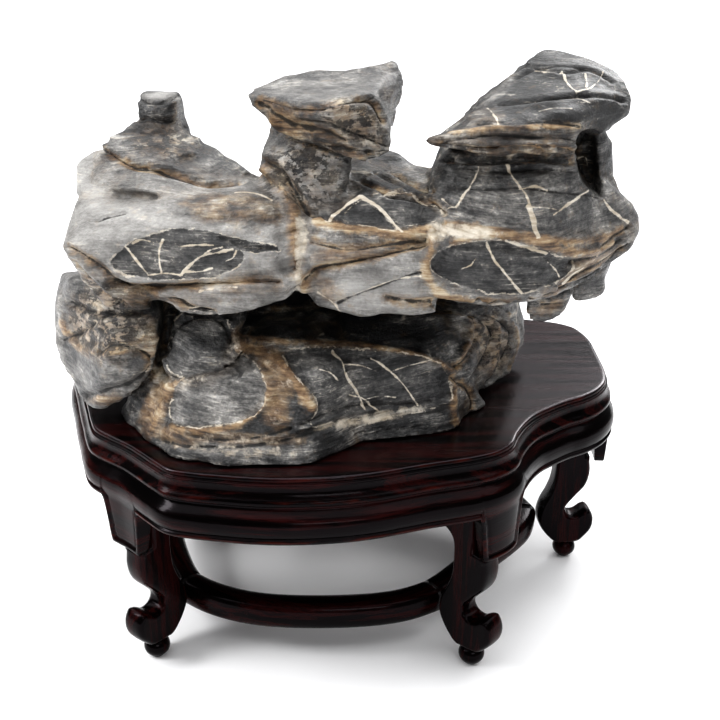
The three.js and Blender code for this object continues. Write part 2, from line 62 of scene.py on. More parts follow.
def add(tree, kind, inputs=None, output=0, stops=(), **settings):
    """Adds a node with its settings, colour stops, and links or values; gives one output."""
    node = tree.nodes.new("ShaderNode" + kind)
    for key, value in settings.items():
        setattr(node, key, value)
    elements = node.color_ramp.elements if stops else ()
    while len(elements) < len(stops):
        elements.new(0.5)
    for element, (position, colour) in zip(elements, stops):
        element.position = position
        element.color = linear(colour)
    for key, value in (inputs or {}).items():
        if isinstance(value, bpy.types.NodeSocket):
            tree.links.new(value, node.inputs[key])
        else:
            node.inputs[key].default_value = value
    return next(o for o in node.outputs if o.enabled) if output == 0 else node.outputs[output]


def show(name, mesh, material):
    """A smooth-shaded object for a mesh, in one material."""
    mesh.polygons.foreach_set("use_smooth", [True] * len(mesh.polygons))
    mesh.materials.clear()
    mesh.materials.append(material)
    made = bpy.data.objects.new(name, mesh)
    scene.collection.objects.link(made)
    return made


def piece(name, points_mm, faces, material):
    """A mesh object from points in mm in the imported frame."""
    mesh = bpy.data.meshes.new(name)
    mesh.from_pydata((np.asarray(points_mm, float) * MM).tolist(), [], faces)
    mesh.validate()
    mesh.update()
    shape = bmesh.new()
    shape.from_mesh(mesh)
    bmesh.ops.recalc_face_normals(shape, faces=shape.faces)
    shape.to_mesh(mesh)
    shape.free()
    return show(name, mesh, material)


def flatten_caps(made):
    """Flat shading for the many-sided end faces."""
    for polygon in made.data.polygons:
        if len(polygon.vertices) > 4:
            polygon.use_smooth = False


def settle(made, node):
    """The piece rides on the stand and stands for its CAD node."""
    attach(made, "root")
    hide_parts(node)


def give(made, name, values, kind="FLOAT"):
    """A per-point attribute that a material reads."""
    layer = made.data.attributes.new(name, kind, "POINT")
    field = "vector" if kind == "FLOAT_VECTOR" else "value"
    layer.data.foreach_set(field, np.ascontiguousarray(values, np.float32).ravel())


def smoothstep(low, high, x):
    t = np.clip((x - low) / (high - low), 0, 1)
    return t * t * (3 - 2 * t)


def spline(p0, p1, p2, p3, f):
    """The point a share f of the way from p1 to p2 on a smooth curve through all four."""
    return 0.5 * (2 * p1 + (p2 - p0) * f + (2 * p0 - 5 * p1 + 4 * p2 - p3) * f ** 2
                  + (3 * p1 - p0 - 3 * p2 + p3) * f ** 3)


def vertices_mm(node):
    """A CAD node's distinct points, in mm."""
    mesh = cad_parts[node].data
    co = np.zeros(len(mesh.vertices) * 3, np.float32)
    mesh.vertices.foreach_get("co", co)
    return np.unique(np.round(co.reshape(-1, 3) / MM, 2), axis=0)


# ---------------------------------------------------------------- camera, light and floor


def build_studio(shift):
    camera = bpy.data.objects.new("camera", bpy.data.cameras.new("camera"))
    scene.collection.objects.link(camera)
    camera.location = [(place + moved) * MM for place, moved in zip(CAMERA_PLACE, shift)]
    camera.rotation_euler = (math.radians(90 - CAMERA_DOWN), 0, 0)
    camera.data.lens = 50
    camera.data.sensor_width = 36
    camera.data.clip_start = 0.01
    camera.data.clip_end = 20
    scene.camera = camera

    world = bpy.data.worlds.new("studio")
    world.use_nodes = True
    room = world.node_tree.nodes["Background"]
    room.inputs["Color"].default_value = linear("#f4f5f7")
    # The room is dim, and its walls behind the sweep are white.
    seen = add(world.node_tree, "LightPath", output="Is Camera Ray")
    glow = add(world.node_tree, "Math", {0: seen, 1: 1.3, 2: 0.16}, operation="MULTIPLY_ADD")
    world.node_tree.links.new(glow, room.inputs["Strength"])
    scene.world = world

    def softbox(name, place, target, size, power):
        light = bpy.data.lights.new(name, "AREA")
        light.shape = "RECTANGLE"
        light.size, light.size_y = size
        light.energy = power
        lamp = bpy.data.objects.new(name, light)
        lamp.location = place
        aim = Vector(target) - Vector(place)
        lamp.rotation_euler = aim.to_track_quat("-Z", "Y").to_euler()
        scene.collection.objects.link(lamp)

    softbox("ceiling_softbox", (0, 3.1, 5), (0, 3.1, 0), (12, 13), 1020)
    softbox("left_softbox", (-1.1, -0.3, 1.0), (0, 0, 0.25), (0.3, 0.7), 12)
    softbox("front_softbox", (0.4, -1.9, 1.1), (0, 0, 0.2), (0.9, 0.4), 6.5)
    softbox("right_back_softbox", (1.5, 2.4, 1.5), (0.1, 0, 0.2), (0.9, 1.0), 26)

    white = bpy.data.materials.new("paper_sweep")
    white.use_nodes = True
    shader = white.node_tree.nodes["Principled BSDF"]
    shader.inputs["Base Color"].default_value = linear("#fdfdfe")
    shader.inputs["Roughness"].default_value = 0.9
    floor_mesh = bpy.data.meshes.new("floor")
    reach = 3.0
    floor_mesh.from_pydata(
        [(-reach, -reach, 0), (reach, -reach, 0), (reach, reach, 0), (-reach, reach, 0)],
        [], [(0, 1, 2, 3)])
    floor_mesh.materials.append(white)
    floor = bpy.data.objects.new("floor", floor_mesh)
    floor.location.z = -0.0002
    scene.collection.objects.link(floor)
    scene.view_settings.view_transform = "Standard"
    scene.view_settings.look = "Medium High Contrast"


# ---------------------------------------------------------------- rosewood, carved and lacquered
# Nearly black red-brown hardwood under a clear polished lacquer: dark pore lines along the grain,
# redder streaks where light enters, and a sharp soft-box reflection where the lacquer is polished,
# on the board's top, less in the mouldings and the carving, where it is thin.


def rosewood(name, gloss):
    material = bpy.data.materials.new(name)
    material.use_nodes = True
    tree = material.node_tree
    shader = tree.nodes["Principled BSDF"]
    shader.inputs["Specular Tint"].default_value = linear("#f3e2f0")
    grain = add(tree, "Attribute", output="Vector", attribute_name="grain")
    # Growth bands 6 to 12 mm apart, drawn out 12 times along the grain.
    bands = add(tree, "Mapping", {"Vector": grain, "Scale": (9, 110, 110)})
    bands = add(tree, "TexNoise", {"Vector": bands, "Scale": 1.0, "Detail": 4, "Roughness": 0.6})
    # Pores about 0.4 mm wide and 6 mm long.
    pores = add(tree, "Mapping", {"Vector": grain, "Scale": (110, 1500, 1500)})
    pores = add(tree, "TexNoise", {"Vector": pores, "Scale": 1.0, "Detail": 2, "Roughness": 0.5})
    tint = add(tree, "ValToRGB", {"Fac": bands}, stops=(
        (0.34, "#020101"), (0.47, "#060202"), (0.57, "#260908"), (0.68, "#0a0303")))
    pore = add(tree, "ValToRGB", {"Fac": pores}, stops=((0.36, "#898989"), (0.5, "#ffffff")))
    colour = add(tree, "Mix", {"Factor": 0.75, "A": tint, "B": pore},
                 data_type="RGBA", blend_type="MULTIPLY")
    # Sharp edges are rubbed back to the red-brown wood and carry a painted red highlight, in soft
    # flecks about 20 mm long.
    wear_and_highlight = add(tree, "Attribute", output="Fac", attribute_name="wear_and_highlight")
    flecks = add(tree, "Mapping", {"Vector": grain, "Scale": (45, 140, 300)})
    flecks = add(tree, "TexNoise", {"Vector": flecks, "Scale": 1.0, "Detail": 5})
    flecks = add(tree, "MapRange", {"Value": flecks, "From Min": 0.5, "From Max": 0.72,
                                    "To Min": 0.0, "To Max": 0.8})
    wear_and_highlight = add(tree, "Math", {0: wear_and_highlight, 1: flecks}, operation="MULTIPLY")
    colour = add(tree, "Mix", {"Factor": wear_and_highlight, "A": colour, "B": linear("#451409")},
                 data_type="RGBA")
    tree.links.new(colour, shader.inputs["Base Color"])
    rough = add(tree, "MapRange", {"Value": bands, "From Min": 0.3, "From Max": 0.7,
                                   "To Min": 0.16, "To Max": 0.3})
    tree.links.new(rough, shader.inputs["Roughness"])
    ripple = add(tree, "TexNoise", {"Vector": grain, "Scale": 90, "Detail": 2})
    height = add(tree, "Math", {0: ripple, 1: pores}, operation="ADD")
    bump = add(tree, "Bump", {"Height": height, "Strength": 0.25, "Distance": 0.0004})
    tree.links.new(bump, shader.inputs["Normal"])
    shader.inputs["Specular IOR Level"].default_value = gloss
    shader.inputs["Coat Weight"].default_value = 0.05
    shader.inputs["Coat Roughness"].default_value = 0.08
    shader.inputs["Coat IOR"].default_value = 1.5
    return material


# ---------------------------------------------------------------- stand


class Outline:
    """A closed curve in plan through evenly spaced points, in mm."""

    def __init__(self, points, samples=4000):
        n = len(points)
        t = np.arange(samples) / samples * n
        i = np.floor(t).astype(int)
        f = (t - i)[:, None]
        self.dense = spline(*(points[(i + k) % n] for k in (-1, 0, 1, 2)), f)
        step = np.linalg.norm(np.roll(self.dense, -1, 0) - self.dense, axis=1)
        self.length = step.sum()
        self.at = np.concatenate([[0], np.cumsum(step)])

    def stations(self, along):
        """Points and outward normals at distances along a counter-clockwise curve."""
        along = np.asarray(along, float) % self.length
        closed = np.vstack([self.dense, self.dense[:1]])
        x = np.interp(along, self.at, closed[:, 0])
        y = np.interp(along, self.at, closed[:, 1])
        tangent = np.roll(self.dense, -3, 0) - np.roll(self.dense, 3, 0)
        tangent = np.vstack([tangent, tangent[:1]])
        tx = np.interp(along, self.at, tangent[:, 0])
        ty = np.interp(along, self.at, tangent[:, 1])
        size = np.hypot(tx, ty)
        return np.stack([x, y], 1), np.stack([ty / size, -tx / size], 1)

    def nearest(self, x, y):
        return self.at[np.argmin(np.hypot(self.dense[:, 0] - x, self.dense[:, 1] - y))]


def board_outline():
    """The top edge of the board, read from its CAD node."""
    points = vertices_mm("top_board")
    top = points[:, 2].max()
    ring = np.unique(points[np.abs(points[:, 2] - (top - 0.8)) < 0.05][:, :2], axis=0)
    centre = ring.mean(0)
    order = np.argsort(np.arctan2(ring[:, 1] - centre[1], ring[:, 0] - centre[0]))
    return Outline(ring[order])


def ring_faces(stations, rows, closed_section=True):
    faces = []
    last = rows if closed_section else rows - 1
    for i in range(stations):
        j = (i + 1) % stations
        for k in range(last):
            m = (k + 1) % rows
            faces.append((i * rows + k, j * rows + k, j * rows + m, i * rows + m))
    return faces


def ring_caps(stations, rows):
    """The two faces that close a ring of sections, over its first row and its last."""
    return [[i * rows for i in range(stations)],
            [i * rows + rows - 1 for i in reversed(range(stations))]]


def build_board(outline, top_wood, edge_wood):
    low, top = (corner.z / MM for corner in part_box("top_board"))
    # From the flat top over a thin rounded edge, a fine line, a cove and a rolled lip.
    edge = [(-3.0, top), (-1.4, top - 0.02), (-0.5, top - 0.25), (0.0, top - 0.8),
            (0.15, top - 2.0), (0.1, top - 2.9), (-0.35, top - 3.2), (-0.35, top - 3.6),
            (0.2, top - 3.9), (1.1, top - 4.1), (1.45, top - 4.6), (1.2, top - 5.4),
            (0.7, top - 6.8), (0.75, top - 8.4), (1.2, top - 10.0), (2.1, top - 11.5),
            (3.3, top - 12.8), (4.1, top - 13.6), (4.5, top - 14.3), (4.6, top - 15.2),
            (4.45, top - 16.2), (4.0, low + 0.15), (3.4, low)]
    count = 620
    at, normal = outline.stations(np.arange(count) / count * outline.length)
    points = [(*(at[i] + normal[i] * out), z) for i in range(count) for out, z in edge]
    faces = ring_faces(count, len(edge), closed_section=False) + ring_caps(count, len(edge))
    board = piece("board", points, faces, top_wood)
    give(board, "grain", np.array(points) * MM, "FLOAT_VECTOR")
    # The arrises of the edge and the lip: rubbed wear and a painted red highlight.
    worn_lit_rows = np.zeros(len(edge))
    worn_lit_rows[[3, 4, 17, 18, 19]] = 1.0, 0.6, 0.5, 1.0, 0.6
    give(board, "wear_and_highlight", np.tile(worn_lit_rows, count))
    board.data.materials.append(edge_wood)
    for polygon in board.data.polygons:
        polygon.material_index = int(polygon.center.z < (top - 0.6) * MM)
    flatten_caps(board)
    settle(board, "top_board")
    return board


# The apron, in mm: its lower edge between the tabs, half a tab's width, the least way along the
# edge from one tab to the next, and the radius of the bead on its lower edge.
APRON_LOW = 123.0
TAB_HALF = 14.5
TAB_SPACING = 60
BEAD = 1.7


def build_apron(outline, wood):
    corners = vertices_mm("apron")
    low = corners[:, 2].min()
    top = corners[:, 2].max()
    tips = corners[corners[:, 2] < low + 0.05]
    along = np.sort([outline.nearest(x, y) for x, y, _ in tips])
    # The tab corners fall into one cluster per leg.
    breaks = np.where(np.diff(along) > TAB_SPACING)[0]
    groups = np.split(along, breaks + 1)
    if along[0] + outline.length - along[-1] < TAB_SPACING:
        groups[0] = np.concatenate([groups[0], groups.pop() - outline.length])
    tabs = [(g.min() + g.max()) / 2 for g in groups]
    count = int(outline.length / 1.1)
    step = outline.length / count
    s = np.arange(count) / count * outline.length
    away = np.min([np.abs((s - t + outline.length / 2) % outline.length - outline.length / 2)
                   for t in tabs], axis=0)
    share = smoothstep(TAB_HALF + 4.5, TAB_HALF - 0.5, away)
    lower = APRON_LOW + (low - APRON_LOW) * share
    # Distance from the lower edge, measured on the unrolled band.
    rows = 46
    v = np.concatenate([np.linspace(0, 0.72, 24), np.linspace(0.74, 1, rows - 24)])
    z = top + (lower[:, None] - top) * v[None, :]
    distance = np.full(z.shape, 99.0)
    reach = 9
    for k in range(-reach, reach + 1):
        a = np.roll(lower, -k)
        b = np.roll(lower, -k - 1)
        # Point to segment between neighbouring edge stations.
        px, pz = -k * step, z - a[:, None]
        ez = (b - a)[:, None]
        t = np.clip((px * step + pz * ez) / (step * step + ez * ez), 0, 1)
        distance = np.minimum(distance, np.hypot(px - step * t, pz - ez * t))
    depth = top - z
    profile = np.interp(depth, [0, 2.6, 3.2, 4.5, 6.5, 8.6, 10.8, 13.5, 16, 19, 23, 40, 57],
                        [1.3, 1.4, 1.9, 3.4, 5.6, 7.3, 8.1, 8.3, 8.0, 7.2, 6.2, 5.6, 5.2])
    bead = np.sqrt(np.clip(1 - ((distance - BEAD) / BEAD) ** 2, 0, 1))
    groove = np.exp(-((distance - 2 * BEAD - 0.5) / 0.7) ** 2)
    out = profile + 1.1 * bead - 0.7 * groove
    at, normal = outline.stations(s)
    points = np.zeros((count, rows + 4, 3))
    points[:, 1:rows + 1, :2] = at[:, None] + normal[:, None] * out[:, :, None]
    points[:, 1:rows + 1, 2] = z
    inner_low = -4.5 + 3.5 * share
    points[:, 0, :2] = at + normal * 0.6
    points[:, 0, 2] = top
    for row, (inset, lift) in enumerate([(0.35, 0.0), (0.0, 0.3)]):
        points[:, rows + 1 + row, :2] = at + normal * (inner_low + inset)[:, None]
        points[:, rows + 1 + row, 2] = lower + lift
    points[:, rows + 3, :2] = at - normal * 4.5
    points[:, rows + 3, 2] = top
    apron = piece("apron_band", points.reshape(-1, 3), ring_faces(count, rows + 4), wood)
    grain = np.zeros_like(points)
    grain[:, :, 0] = s[:, None]
    grain[:, :, 1] = out.mean()
    grain[:, :, 2] = points[:, :, 2]
    give(apron, "grain", grain * MM, "FLOAT_VECTOR")
    # The bead: rubbed wear and a painted red highlight.
    worn_lit = np.zeros((count, rows + 4))
    worn_lit[:, 1:rows + 1] = bead ** 2
    give(apron, "wear_and_highlight", worn_lit)
    settle(apron, "apron")
    return apron


# A leg's side outline, in mm outward from its foot's centre and up, from under the tab at the
# front, round the toe and up the back to the post.
LEG_PROFILE = [
    (12.5, 86), (13.4, 76), (10.8, 65), (3, 55), (-3.2, 46), (-1.4, 39.6), (5, 38.4), (11, 42.4),
    (15.6, 42.8), (19.4, 36), (18.8, 27), (13.8, 19.5), (7.5, 14.5), (-7, 14.2), (-15, 20),
    (-21.5, 29), (-23.6, 37), (-21.5, 48), (-17, 58), (-14, 68), (-13, 80), (-13.5, 92),
    (-17, 98), (-24, 102), (-27, 107),
]


def open_curve(points, step):
    """A smooth curve through points, resampled evenly."""
    p = np.array(points, float)
    p = np.vstack([2 * p[0] - p[1], p, 2 * p[-1] - p[-2]])
    out = []
    for i in range(1, len(p) - 2):
        for f in np.linspace(0, 1, 12, endpoint=False):
            out.append(spline(*p[i - 1:i + 3], f))
    out.append(p[-2])
    out = np.array(out)
    at = np.concatenate([[0], np.cumsum(np.linalg.norm(np.diff(out, axis=0), axis=1))])
    even = np.linspace(0, at[-1], int(at[-1] / step))
    return np.stack([np.interp(even, at, out[:, k]) for k in range(2)], 1)


def build_leg(node, wood):
    corners = vertices_mm(node)
    top = corners[:, 2].max()
    sole = corners[corners[:, 2] < 0.05]
    foot = sole[:, :2].mean(0)
    head = corners[corners[:, 2] > top - 0.05][:, :2]
    inward = head.mean(0) - foot
    facing = -inward / np.linalg.norm(inward)
    outer = ((head - foot) @ facing).max()
    profile = open_curve(LEG_PROFILE, 1.6)
    post = [(-27, 107 + (top - 107) * f) for f in (0.33, 0.66, 1.0)]
    post += [(-27 + (outer + 27) * f, top) for f in (0.33, 0.66, 1.0)]
    post += [(outer, top + (89.4 - top) * f) for f in (0.25, 0.5, 0.75, 1.0)]
    post += [(12.3, 89.4)]
    shape = np.vstack([profile, post])
    around = np.roll(shape, -1, 0) - np.roll(shape, 1, 0)
    normal = np.stack([around[:, 1], -around[:, 0]], 1)
    normal /= np.linalg.norm(normal, axis=1)[:, None] + 1e-9
    area = 0.5 * np.sum(shape[:, 0] * np.roll(shape[:, 1], -1)
                        - np.roll(shape[:, 0], -1) * shape[:, 1])
    if area < 0:
        normal = -normal
    # The outer face is rounded over more than the inner one.
    soft = np.where(shape[:, 0] > -6, 1.0, 0.6)
    half = [(3.5, 0.0), (5.5, 0.25), (6.9, 0.75), (7.8, 1.5), (8.35, 2.5), (8.5, 3.4)]
    slices = [(-t, inset) for t, inset in reversed(half)] + [(0.0, -0.12)] + half
    rows = len(slices)
    n = len(shape)
    points = []
    side = np.array([-facing[1], facing[0]])
    for i in range(n):
        for t, inset in slices:
            r, z = shape[i] - normal[i] * inset * soft[i]
            points.append((*(foot + facing * r + side * t), z))
    faces = ring_faces(n, rows, closed_section=False) + ring_caps(n, rows)
    # Ball foot with its short neck.
    ball = [(0, 0), (3.4, 0), (4.4, 0.15)]
    for a in np.linspace(-1.02, 1.15, 15):
        ball.append((8.7 * math.cos(a), 7.5 + 7.8 * math.sin(a)))
    ball += [(3.9, 14.9), (4.4, 15.6), (6.2, 16.4), (6.2, 18)]
    turns = 40
    start = len(points)
    for i in range(turns):
        a = 2 * math.pi * i / turns
        for r, z in ball[1:]:
            points.append((foot[0] + r * math.cos(a), foot[1] + r * math.sin(a), z))
    m = len(ball) - 1
    for face in ring_faces(turns, m, closed_section=False):
        faces.append([start + corner for corner in face])
    faces.append([start + i * m for i in reversed(range(turns))])
    faces.append([start + i * m + m - 1 for i in range(turns)])
    leg = piece("cabriole_" + node, points, faces, wood)
    co = np.array(points)
    local = co.copy()
    local[:, :2] -= foot
    grain = np.stack([co[:, 2], local[:, :2] @ facing, local[:, :2] @ side], 1) * MM
    give(leg, "grain", grain + np.array([0.3 * foot[0], 0.2 * foot[1], 0]) * MM, "FLOAT_VECTOR")
    flatten_caps(leg)
    settle(leg, node)
    return leg


def build_rail(node, wood):
    """A rail's CAD solid with its triangles joined and its edges rounded, its ends kept sharp."""
    shape = bmesh.new()
    shape.from_mesh(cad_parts[node].data)
    bmesh.ops.remove_doubles(shape, verts=shape.verts, dist=0.00002)
    bmesh.ops.join_triangles(shape, faces=shape.faces, angle_face_threshold=0.6,
                             angle_shape_threshold=3.1)
    crease = shape.edges.layers.float.new("crease_edge")
    for edge in shape.edges:
        if edge.calc_face_angle(0) > 1.0:
            edge[crease] = 1.0
    mesh = bpy.data.meshes.new("stretcher_" + node)
    shape.to_mesh(mesh)
    shape.free()
    rail = show("stretcher_" + node, mesh, wood)
    rounding = rail.modifiers.new("rounding", "SUBSURF")
    rounding.levels = rounding.render_levels = 2
    co = np.array([v.co for v in mesh.vertices])
    angle = np.arctan2(co[:, 1], co[:, 0])
    give(rail, "grain", np.stack([angle * 0.12, np.hypot(co[:, 0], co[:, 1]), co[:, 2]], 1),
         "FLOAT_VECTOR")
    settle(rail, node)
    return rail


